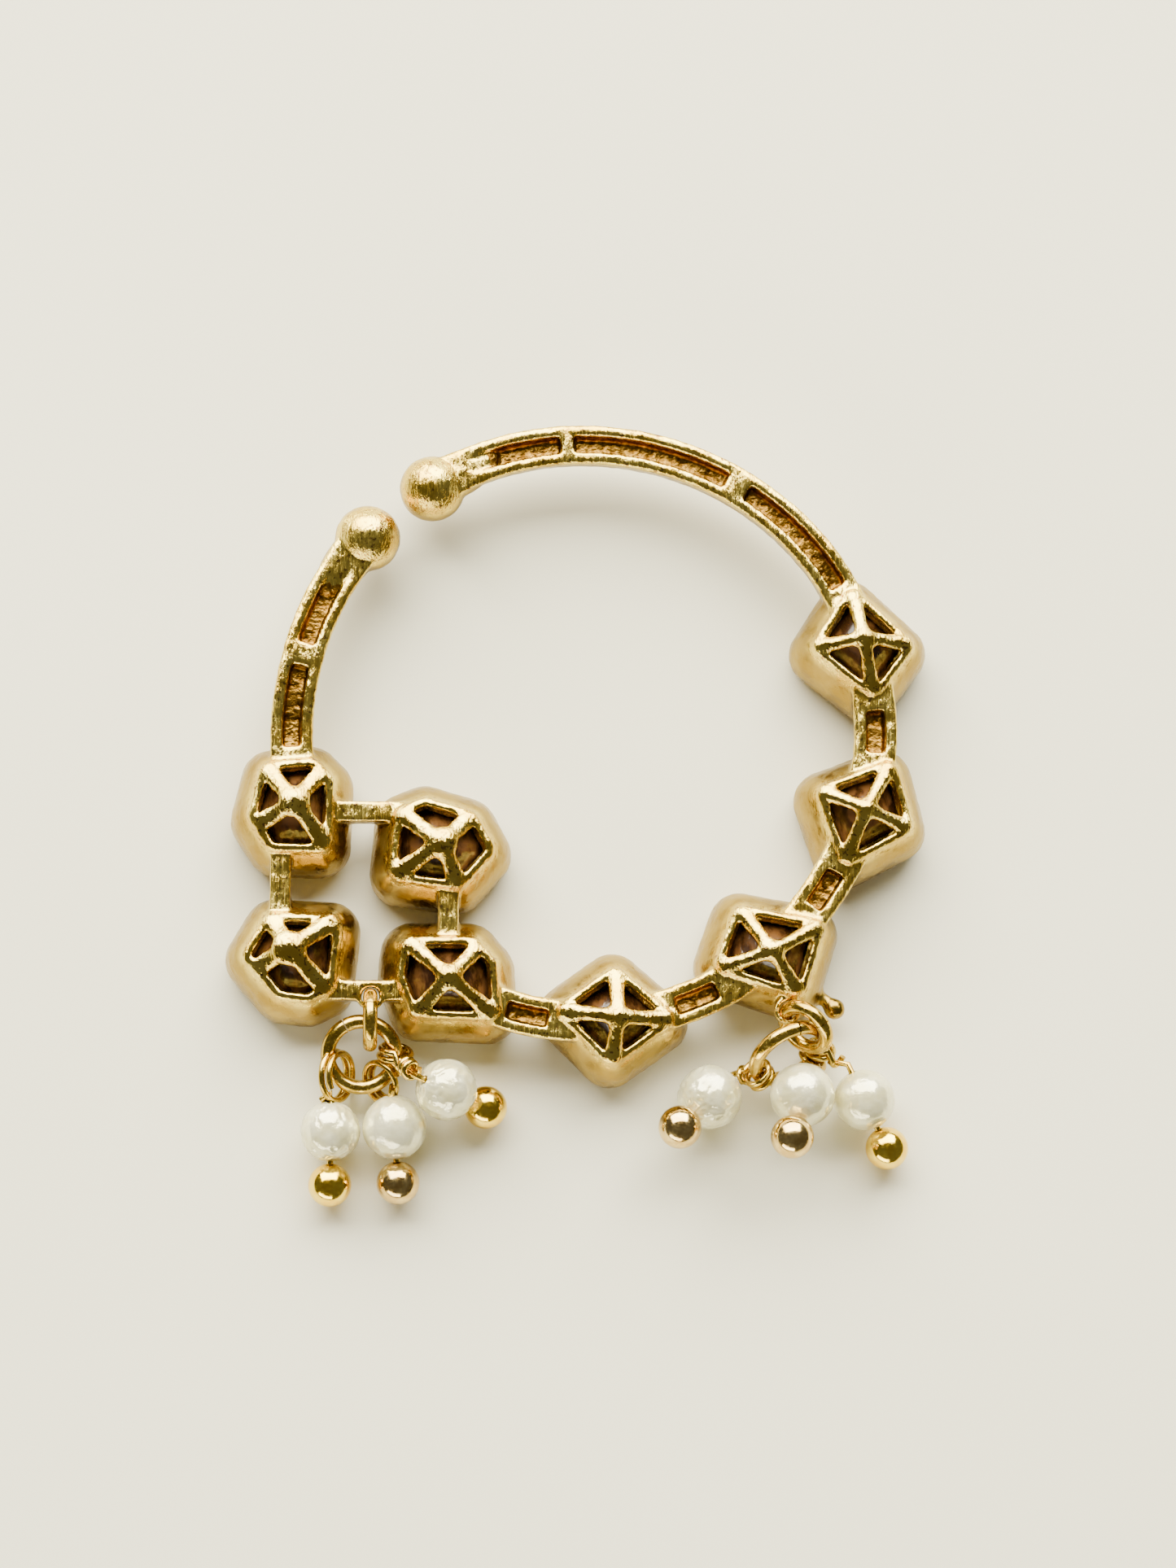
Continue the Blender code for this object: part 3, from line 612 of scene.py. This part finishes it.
# the heights and the share of a pocket's width that its dark lining takes up
LINING_TOP = BAND_TOP - POCKET_DEPTH * 0.35
LINING_FLOOR = BAND_TOP - POCKET_DEPTH * 1.3 - BAND_DROP
LINING_HALF = 0.55
# the sizes of the marks in the gilding, and how deep they are
CLOUD_SIZE = 0.0011
PIT_SIZE, PIT_DEPTH = 0.00020, 0.00004
CONTACT_SHADE_BLOTCH_SIZE = 0.0004
SCRATCH_SIZE, SCRATCH_DEPTH = 0.00007, 0.000035
SATIN_SIZE, SATIN_DEPTH = 0.00009, 0.000004
HAMMER_SIZE, HAMMER_DEPTH = 0.00026, 0.00011
LINING_SIZE, LINING_DEPTH = 0.00030, 0.00012


def smooth_over(builder, verts, rounds):
    """Evens out these vertices this many times."""
    for _ in range(rounds):
        bmesh.ops.smooth_vert(builder, verts=verts, factor=0.5, use_axis_x=True,
                              use_axis_y=True, use_axis_z=True)


def blend_values(tree, share, first, last):
    """Mixes two values, each a plain number or another node's output."""
    node = tree.nodes.new("ShaderNodeMix")
    node.data_type = "FLOAT"
    tree.links.new(share, node.inputs["Factor"])
    for socket, value in (("A", first), ("B", last)):
        slot = next(s for s in node.inputs if s.name == socket and s.type == "VALUE")
        if isinstance(value, (int, float)):
            slot.default_value = value
        else:
            tree.links.new(value, slot)
    return next(s for s in node.outputs if s.type == "VALUE")


def relief(tree, height, distance, strength=1.0, under=None):
    """A bump of this depth in metres, on top of another if one is given."""
    node = tree.nodes.new("ShaderNodeBump")
    node.inputs["Distance"].default_value = distance
    node.inputs["Strength"].default_value = strength
    tree.links.new(height, node.inputs["Height"])
    if under:
        tree.links.new(under, node.inputs["Normal"])
    return node.outputs["Normal"]


for setting in SETTINGS:
    builder = bmesh.new()
    middle_rows = [(spread - CUP_WALL / 2, level) for spread, level in cup_outside]
    plug_section = [(-FRAME_WIDTH / 2, SETTING_DEPTH + HUB_RISE), (-FRAME_WIDTH / 2, FRAME_EDGE),
                    *reversed(middle_rows), (middle_rows[0][0], 0.0)]
    top_ring = frame_ring(builder, setting, FRAME_WIDTH / 2, plug_section[0][1])
    low_ring = follow_section(builder, top_ring, plug_section)
    builder.faces.new(top_ring)
    builder.faces.new(low_ring)
    bmesh.ops.recalc_face_normals(builder, faces=builder.faces)
    hollows.objects.link(show("plug_" + setting.name, builder, []))
for piece in hoop_pieces:
    trim = piece.modifiers.new("trim", "BOOLEAN")
    trim.operation = "DIFFERENCE"
    trim.operand_type = "COLLECTION"
    trim.collection = hollows
    trim.solver = "EXACT"
graph = bpy.context.evaluated_depsgraph_get()
for piece in hoop_pieces:
    trimmed = bpy.data.meshes.new_from_object(piece.evaluated_get(graph))
    casting.from_mesh(trimmed)
    bpy.data.meshes.remove(trimmed)
for piece in [*hoop_pieces, *hollows.objects]:
    bpy.data.objects.remove(piece)
bpy.data.collections.remove(hollows)
bmesh.ops.recalc_face_normals(casting, faces=casting.faces)
rough_casting = show("rough_casting", casting, [])
skin = rough_casting.modifiers.new("skin", "REMESH")
skin.mode = "VOXEL"
skin.voxel_size = SKIN_GRAIN
graph = bpy.context.evaluated_depsgraph_get()
casting = bmesh.new()
skinned = bpy.data.meshes.new_from_object(rough_casting.evaluated_get(graph))
casting.from_mesh(skinned)
bpy.data.meshes.remove(skinned)
bpy.data.objects.remove(rough_casting)
smooth_over(casting, casting.verts, SKIN_SMOOTHING)
cup_verts = [vert for vert in casting.verts if CUP_LOW < vert.co.z < CUP_HIGH]
smooth_over(casting, cup_verts, CUP_SMOOTHING)
rib_verts = [vert for vert in casting.verts if vert.co.z > RIB_FOOT]
smooth_over(casting, rib_verts, RIB_SMOOTHING)
casting.normal_update()
for vert in casting.verts:
    wave = noise.noise(vert.co * LONG_WAVES) + 0.5 * noise.noise(vert.co * SHORT_WAVES)
    vert.co += vert.normal * wave * RIM_WAVE

gilt, gilt_tree, gilt_shader = finish("gilt_casting", (0.80, 0.52, 0.15), 1.0, 0.2)
coordinates = gilt_tree.nodes.new("ShaderNodeTexCoord")
split = gilt_tree.nodes.new("ShaderNodeSeparateXYZ")
gilt_tree.links.new(coordinates.outputs["Object"], split.inputs["Vector"])
height = split.outputs["Z"]
polish = ramp(gilt_tree, height, *POLISH_HEIGHTS)
cloud = ramp(gilt_tree, grain(gilt_tree, CLOUD_SIZE, 3.0), 0.35, 0.65)
# below the polish heights the casting takes the satin tone, partly duller gilt and partly painted
# shade
satin_and_shade_colour = blend_colours(gilt_tree, cloud, *SATIN_GILT_AND_SHADE)
bright_colour = blend_colours(gilt_tree, cloud, *BRIGHT_GILT)
gilt_colour = blend_colours(gilt_tree, polish, satin_and_shade_colour, bright_colour)
pits = ramp(gilt_tree, grain(gilt_tree, PIT_SIZE, 5.0), 0.58, 0.66)
top_pits = blend_values(gilt_tree, polish, 0.0, pits)
gilt_colour = blend_colours(gilt_tree, top_pits, gilt_colour, PIT_BROWN)
# painted contact shade: dark brown blotches that darken the casting towards the table
contact_shade_fade = ramp(gilt_tree, height, *CONTACT_SHADE_HEIGHTS, 1.0, 0.0)
contact_shade_noise = grain(gilt_tree, CONTACT_SHADE_BLOTCH_SIZE, 5.0, stretch=(1.0, 1.0, 0.6))
contact_shade_blotches = ramp(gilt_tree, contact_shade_noise, 0.57, 0.63, 0.0, 0.8)
low_contact_shade = blend_values(gilt_tree, contact_shade_fade, 0.0, contact_shade_blotches)
gilt_colour = blend_colours(gilt_tree, low_contact_shade, gilt_colour, CONTACT_SHADE_BROWN)
gilt_tree.links.new(gilt_colour, gilt_shader.inputs["Base Color"])
scratches = grain(gilt_tree, SCRATCH_SIZE, 3.0, stretch=(1.0, 0.08, 1.0), turn=40)
satin_roughness = ramp(gilt_tree, cloud, 0.0, 1.0, 0.22, 0.40)
brushed_roughness = ramp(gilt_tree, scratches, 0.3, 0.7, 0.12, 0.28)
burnish = ramp(gilt_tree, height, *BURNISH_HEIGHTS)
burnished_roughness = blend_values(gilt_tree, burnish, brushed_roughness, 0.10)
open_ends = ramp(gilt_tree, split.outputs["Y"], *OPEN_ENDS)
bright_roughness = blend_values(gilt_tree, open_ends, burnished_roughness, brushed_roughness)
gilt_roughness = blend_values(gilt_tree, polish, satin_roughness, bright_roughness)
gilt_tree.links.new(gilt_roughness, gilt_shader.inputs["Roughness"])
satin_relief = relief(gilt_tree, grain(gilt_tree, SATIN_SIZE, 3.0), SATIN_DEPTH, 0.5)
hammer_marks = grain(gilt_tree, HAMMER_SIZE, 4.0, stretch=(1.0, 0.5, 1.0), turn=35)
hammer_share = ramp(gilt_tree, height, *POLISH_HEIGHTS, 0.4, 1.0)
hammer_height = blend_values(gilt_tree, hammer_share, 0.5, hammer_marks)
hammered = relief(gilt_tree, hammer_height, HAMMER_DEPTH, 0.6, satin_relief)
top_scratches = blend_values(gilt_tree, polish, 0.5, scratches)
scratch_relief = relief(gilt_tree, top_scratches, SCRATCH_DEPTH, 0.7, hammered)
pit_relief = relief(gilt_tree, top_pits, PIT_DEPTH, -0.7, scratch_relief)
gilt_tree.links.new(pit_relief, gilt_shader.inputs["Normal"])

lining, lining_tree, lining_shader = finish("pocket_lining", (0.45, 0.25, 0.06), 1.0, 0.3)
lining_cloud = ramp(lining_tree, grain(lining_tree, LINING_SIZE, 4.0), 0.35, 0.65)
lining_colour = blend_colours(lining_tree, lining_cloud, *LINING_BROWN)
lining_tree.links.new(lining_colour, lining_shader.inputs["Base Color"])
lining_relief = relief(lining_tree, grain(lining_tree, LINING_SIZE, 4.0), LINING_DEPTH, 0.8)
lining_tree.links.new(lining_relief, lining_shader.inputs["Normal"])

cast_skin = show("cast_frame_skin", casting, [gilt, lining])
thin = cast_skin.modifiers.new("thin", "DECIMATE")
thin.ratio = SKIN_SHARE
graph = bpy.context.evaluated_depsgraph_get()
thinned = bpy.data.meshes.new_from_object(cast_skin.evaluated_get(graph))
cast_skin.modifiers.remove(thin)
cast_skin.data = thinned
for face in thinned.polygons:
    middle = face.center
    if not LINING_FLOOR < middle.z < LINING_TOP:
        continue
    reach = (middle.xy - HOOP_CENTRE).length
    for route, pockets in ((HOOP_ROUTE, HOOP_POCKETS), (ARM_ROUTE, ARM_POCKETS)):
        bearing = bearing_of(middle, route)
        if any(min(ends) < bearing < max(ends) for ends in pockets):
            distance, width, drop = at_bearing(route, bearing)
            across = abs(reach - distance * HOOP_RADIUS)
            low_enough = middle.z < LINING_TOP - drop * BAND_DROP
            if low_enough and across < POCKET_WIDTH * width * LINING_HALF:
                face.material_index = 1
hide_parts("cast_frame")
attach(cast_skin, "root")

# The stones are step cut and fill the cups, so through the ribs only their backs show. Their dark
# brown is partly a brown foil back and partly painted shade, and the faint lighter streaks that run
# along the cuts are painted reflections of the gilt cup walls.
STREAK_SIZE, STREAK_DEPTH = 0.0005, 0.00002
STONE_BACK_SHADE_AND_REFLECTIONS = ((0.03, 0.011, 0.003), (0.12, 0.052, 0.016))
stone_finish, stone_tree, stone_shader = finish("brown_glass", (0.06, 0.025, 0.01), 0.0, 0.16)
stone_grain = grain(stone_tree, STREAK_SIZE, 3.0, stretch=(1.0, 0.5, 1.0), turn=20)
# painted reflections: lighter streaks of the gilt cup walls over a brown that is partly foil and
# partly painted shade
reflection_streaks = ramp(stone_tree, stone_grain, 0.42, 0.62)
stone_shade_and_reflection_colour = blend_colours(stone_tree, reflection_streaks, *STONE_BACK_SHADE_AND_REFLECTIONS)
stone_tree.links.new(stone_shade_and_reflection_colour, stone_shader.inputs["Base Color"])
stone_relief = relief(stone_tree, reflection_streaks, STREAK_DEPTH, 0.4)
stone_tree.links.new(stone_relief, stone_shader.inputs["Normal"])
for setting in SETTINGS:
    stone = frame["nodes"][setting.name]
    stone.data.materials.clear()
    stone.data.materials.append(stone_finish)

# Each eyelet holds a jump ring of stout gilt wire, and a larger one hangs in it. Both are bent
# from round wire and closed end to end, so a hairline joint shows in each.
UPPER_LINK_RADIUS = 0.00104
LOWER_LINK_RADIUS = 0.00143
LINK_JOINT = math.radians(2.0)
LINK_HANG = 0.00006 + EYELET_THICKNESS / 2
WIRE_GILT = ((0.44, 0.28, 0.03), (0.74, 0.52, 0.10))
# eyelet, heading, lean and sag of the upper link; centre, height, size, axis and tilt of the lower;
# and the bearing of the joint in both
Cluster = namedtuple("Cluster", "name eyelet heading lean sag centre height size axis tilt joint")
CLUSTERS = (
    Cluster("left", EYELETS[0], -90.0, 0.0, 14.0,
            (-0.752, -1.076), 0.00175, 1.0, 0.0, 18.0, 120.0),
    Cluster("right", EYELETS[1], -44.3, 29.5, 0.0,
            (0.675, -1.065), 0.00197, 1.13, 26.0, 60.0, 70.0),
)


def link_frame(cluster, upper):
    """A link's centre, its radius and the two directions that its circle lies in."""
    if upper:
        heading = Vector((*planar(cluster.heading, 1.0), 0.0))
        rising = Matrix.Rotation(math.radians(-cluster.lean), 3, heading) @ Vector((0, 0, 1))
        sag = math.radians(cluster.sag)
        flat = HOOP_CENTRE + Vector(cluster.eyelet) * HOOP_RADIUS
        eyelet = Vector((*flat, BAND_TOP - LINK_HANG))
        way = heading * math.cos(sag) - rising * math.sin(sag)
        return eyelet + way * UPPER_LINK_RADIUS, UPPER_LINK_RADIUS, heading, rising
    centre = Vector((*(HOOP_CENTRE + Vector(cluster.centre) * HOOP_RADIUS), cluster.height))
    level = Vector((*planar(cluster.axis, 1.0), 0.0))
    rising = Matrix.Rotation(math.radians(cluster.tilt), 3, level) @ Vector((0, 0, 1)).cross(level)
    return centre, cluster.size * LOWER_LINK_RADIUS, level, rising


def link_point(link, bearing):
    """The point on a link's middle line at this bearing on its circle."""
    centre, radius, along, across = link
    angle = math.radians(bearing)
    return centre + (along * math.cos(angle) + across * math.sin(angle)) * radius


wire_finish, wire_tree, wire_shader = finish("gilt_wire", (0.88, 0.60, 0.20), 1.0, 0.18)
wire_cloud = ramp(wire_tree, grain(wire_tree, 0.0006, 3.0), 0.35, 0.65)
wire_colour = blend_colours(wire_tree, wire_cloud, *WIRE_GILT)
wire_tree.links.new(wire_colour, wire_shader.inputs["Base Color"])
wire_roughness = ramp(wire_tree, grain(wire_tree, 0.0001, 3.0), 0.3, 0.7, 0.12, 0.28)
wire_tree.links.new(wire_roughness, wire_shader.inputs["Roughness"])
wire_relief = relief(wire_tree, grain(wire_tree, 0.00012, 2.0), 0.000008, 0.5)
wire_tree.links.new(wire_relief, wire_shader.inputs["Normal"])
for cluster in CLUSTERS:
    for label, upper in (("upper", True), ("lower", False)):
        centre, radius, along, across = link_frame(cluster, upper)
        builder = bmesh.new()
        section = bmesh.ops.create_circle(builder, cap_ends=True, segments=20, radius=LINK_WIRE / 2)
        upright = Matrix.Translation((radius, 0, 0)) @ Matrix.Rotation(math.radians(90), 4, "X")
        bmesh.ops.transform(builder, matrix=upright, verts=section["verts"])
        bmesh.ops.spin(builder, geom=list(builder.faces), cent=(0, 0, 0), axis=(0, 0, 1),
                       angle=2 * math.pi - LINK_JOINT, steps=90, use_merge=False)
        bmesh.ops.recalc_face_normals(builder, faces=builder.faces)
        turn = Matrix((along, across, along.cross(across))).transposed().to_4x4()
        spun = Matrix.Rotation(math.radians(cluster.joint), 4, "Z")
        bmesh.ops.transform(builder, matrix=Matrix.Translation(centre) @ turn @ spun,
                            verts=builder.verts)
        name = f"{cluster.name}_{label}_link"
        link = show(name + "_ring", builder, [wire_finish], 40)
        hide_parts(name)
        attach(link, "root")

# Three head pins hang from each lower ring. Each is one soft wire with a ball on its end: it goes
# through the pearl, loops twice round the ring and is wound round its own neck.
PIN_WIRE = 0.00028
PIN_LOOP_RADIUS = 0.00078
WRAP_PITCH = 0.00034
PEARL_DIAMETER = 0.00278
BALL_DIAMETER = 0.00184
BALL_GAP = 0.00006
LOOP_POINTS = 84
LOOP_SWEEP = 690
LOOP_CLOSING = 0.12
WRAP_POINTS = 14
# in widths of the wire: the gap above the pearl, how far the loop's turns lie apart, and the
# winding's clearance, start and radius
PEARL_ROOM = 1.3
LOOP_SPREAD = 1.15
WRAP_ROOM, WRAP_START, WRAP_REACH = 2.2, 0.7, 1.12
# the finishes of the balls, each from its deep to its light tone
BALL_TONES = (
    ("yellow_gilt", (0.92, 0.58, 0.04), (1.0, 0.72, 0.10)),
    ("rose_gilt", (0.62, 0.41, 0.13), (0.82, 0.61, 0.25)),
)
# the pearl's place, height and size as shares of HOOP_RADIUS and PEARL_DIAMETER, the pin's bearing
# and rise, where it hooks the ring, its loop's size and lean, the ball's finish, and how much the
# pearl's lacquer has crept
Drop = namedtuple(
    "Drop", "cluster number x y height size bearing rise hook loop lean metal crumple")
DROPS = (
    Drop(0, 1, -0.853, -1.330, 0.515, 0.93, -90, -9, -138, 1.42, 58, "yellow_gilt", 1.0),
    Drop(0, 2, -0.640, -1.315, 0.525, 1.00, -86, -9, -52, 1.12, -42, "rose_gilt", 0.35),
    Drop(0, 3, -0.471, -1.196, 0.875, 0.96, -20, -38, 0, 0.90, 0, "yellow_gilt", 1.0),
    Drop(1, 1, 0.410, -1.209, 0.520, 1.01, -135, 34, 198, 0.75, 15, "rose_gilt", 1.0),
    Drop(1, 2, 0.714, -1.207, 0.820, 1.01, -108, 34, -56, 0.76, 0, "rose_gilt", 0.3),
    Drop(1, 3, 0.930, -1.216, 0.515, 0.95, -64, -10, -32, 0.74, 0, "yellow_gilt", 0.35),
)


def drop_frame(drop):
    """The pearl's centre, its radius and the direction from it to the ball."""
    flat = HOOP_CENTRE + Vector((drop.x, drop.y)) * HOOP_RADIUS
    level = math.cos(math.radians(drop.rise))
    axis = Vector((*planar(drop.bearing, level), math.sin(math.radians(drop.rise))))
    return Vector((*flat, drop.height * PEARL_DIAMETER)), drop.size * PEARL_DIAMETER / 2, axis


def pin_route(drop):
    """The head pin's wire: ball, pearl, two turns round the link, and the end wound on itself."""
    pearl, pearl_radius, axis = drop_frame(drop)
    link = link_frame(CLUSTERS[drop.cluster], upper=False)
    hook = link_point(link, drop.hook)
    tangent = link_point(link, drop.hook + 1) - hook
    leave = pearl - axis * (pearl_radius + PIN_WIRE * PEARL_ROOM)
    towards = (leave - hook).normalized()
    turning = (tangent - towards * tangent.dot(towards)).normalized()
    turning = Matrix.Rotation(math.radians(drop.lean), 3, towards) @ turning
    side = turning.cross(towards)
    loop = drop.loop * PIN_LOOP_RADIUS
    foot = hook + towards * loop
    route = [pearl + axis * (pearl_radius + BALL_GAP + BALL_DIAMETER / 2), pearl, leave]
    for step in range(LOOP_POINTS):
        share = step / (LOOP_POINTS - 1)
        angle = math.radians(LOOP_SWEEP) * share
        out = (towards * math.cos(angle) + side * math.sin(angle)) * loop
        aside = turning * PIN_WIRE * LOOP_SPREAD * (share * 2 - 1)
        route.append(hook + out * (1 - LOOP_CLOSING * share) + aside)
    turns = max(0.0, ((leave - foot).length - PIN_WIRE * WRAP_ROOM) / WRAP_PITCH)
    for step in range(int(turns * WRAP_POINTS)):
        angle = 2 * math.pi * step / WRAP_POINTS
        away = -side * math.cos(angle) - turning * math.sin(angle)
        along = towards * (PIN_WIRE * WRAP_START + WRAP_PITCH * step / WRAP_POINTS)
        route.append(foot + along + away * PIN_WIRE * WRAP_REACH)
    return route


ball_finishes = {}
for metal, deep, light in BALL_TONES:
    made, tree, shader = finish(metal, light, 1.0, 0.1)
    tone = ramp(tree, grain(tree, 0.0005, 3.0), 0.35, 0.65)
    tree.links.new(blend_colours(tree, tone, deep, light), shader.inputs["Base Color"])
    shine = ramp(tree, grain(tree, 0.00012, 3.0), 0.3, 0.7, 0.08, 0.22)
    tree.links.new(shine, shader.inputs["Roughness"])
    tree.links.new(relief(tree, grain(tree, 0.0004, 2.0), 0.000012, 0.4), shader.inputs["Normal"])
    ball_finishes[metal] = made
for drop in DROPS:
    label = f"{CLUSTERS[drop.cluster].name}_pin_{drop.number}"
    curve = bpy.data.curves.new(label, "CURVE")
    curve.dimensions = "3D"
    curve.bevel_depth = PIN_WIRE / 2
    curve.bevel_resolution = 3
    curve.use_fill_caps = True
    route = pin_route(drop)
    spline = curve.splines.new("POLY")
    spline.points.add(len(route) - 1)
    for slot, point in zip(spline.points, route):
        slot.co = (*point, 1.0)
    guide = bpy.data.objects.new(label, curve)
    bpy.context.scene.collection.objects.link(guide)
    graph = bpy.context.evaluated_depsgraph_get()
    drawn = bpy.data.meshes.new_from_object(guide.evaluated_get(graph))
    bpy.data.objects.remove(guide)
    builder = bmesh.new()
    builder.from_mesh(drawn)
    bpy.data.meshes.remove(drawn)
    bmesh.ops.remove_doubles(builder, verts=builder.verts, dist=1e-7)
    bmesh.ops.recalc_face_normals(builder, faces=builder.faces)
    pin = show(label + "_wire", builder, [wire_finish], 60)
    pearl, pearl_radius, axis = drop_frame(drop)
    turn = axis.to_track_quat("Z", "Y").to_matrix().to_4x4()
    place = pearl + axis * (pearl_radius + BALL_GAP + BALL_DIAMETER / 2)
    builder = bmesh.new()
    bmesh.ops.create_uvsphere(builder, u_segments=40, v_segments=24, radius=BALL_DIAMETER / 2,
                              matrix=Matrix.Translation(place) @ turn)
    head = show(label + "_ball", builder, [ball_finishes[drop.metal]])
    for piece, slot_name in ((pin, "wire_gilt"), (head, drop.metal)):
        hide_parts(label)
        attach(piece, "root")

# The pearls are small imitation seed pearls, drilled through. Their lacquer has crept into soft
# wrinkles on some of them, which break the shine up into streaks.
PEARL_BORE = PIN_WIRE / 2 + 0.00006
PEARL_CREAM = ((0.76, 0.71, 0.40), (0.87, 0.84, 0.57))
WRINKLE_STRETCH = (5, 5, 1.6)
WRINKLE_DEPTH = 0.08
LUMP_SCALE = 1.3
LUMP_DEPTH = 0.02
pearl_finish, pearl_tree, pearl_shader = finish("pearl_lacquer", (0.82, 0.80, 0.62), 0.40, 0.21)
pearl_cloud = ramp(pearl_tree, grain(pearl_tree, 0.0009, 3.0), 0.35, 0.65)
pearl_colour = blend_colours(pearl_tree, pearl_cloud, *PEARL_CREAM)
pearl_tree.links.new(pearl_colour, pearl_shader.inputs["Base Color"])
pearl_shader.inputs["Coat Weight"].default_value = 0.6
pearl_shader.inputs["Coat Roughness"].default_value = 0.08
pearl_relief = relief(pearl_tree, grain(pearl_tree, 0.00045, 4.0), 0.00009, 0.5)
pearl_tree.links.new(pearl_relief, pearl_shader.inputs["Normal"])
for drop in DROPS:
    centre, radius, axis = drop_frame(drop)
    rim = math.asin(PEARL_BORE / radius)
    builder = bmesh.new()
    start = builder.verts.new((radius * math.sin(rim), 0, radius * math.cos(rim)))
    bmesh.ops.spin(builder, geom=[start], cent=(0, 0, 0), axis=(0, 1, 0),
                   angle=math.pi - 2 * rim, steps=48, use_merge=False)
    end = min(builder.verts, key=lambda vert: vert.co.z)
    builder.edges.new((end, start))
    bmesh.ops.spin(builder, geom=[*builder.verts, *builder.edges], cent=(0, 0, 0), axis=(0, 0, 1),
                   angle=2 * math.pi, steps=72, use_merge=True)
    for vert in builder.verts:
        place = vert.co / radius + Vector((drop.x, drop.y, 0)) * 9
        streak = Vector([part * share for part, share in zip(place, WRINKLE_STRETCH)])
        wrinkle = abs(noise.noise(streak)) * -WRINKLE_DEPTH * drop.crumple
        lump = noise.noise(place * LUMP_SCALE) * LUMP_DEPTH
        vert.co *= 1 + min(0.0, lump - LUMP_DEPTH / 2) + wrinkle
    turn = axis.to_track_quat("Z", "Y").to_matrix().to_4x4()
    bmesh.ops.recalc_face_normals(builder, faces=builder.faces)
    bmesh.ops.transform(builder, matrix=Matrix.Translation(centre) @ turn, verts=builder.verts)
    label = f"{CLUSTERS[drop.cluster].name}_pearl_{drop.number}"
    bead = show(label + "_bead", builder, [pearl_finish], 60)
    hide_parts(label)
    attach(bead, "root")
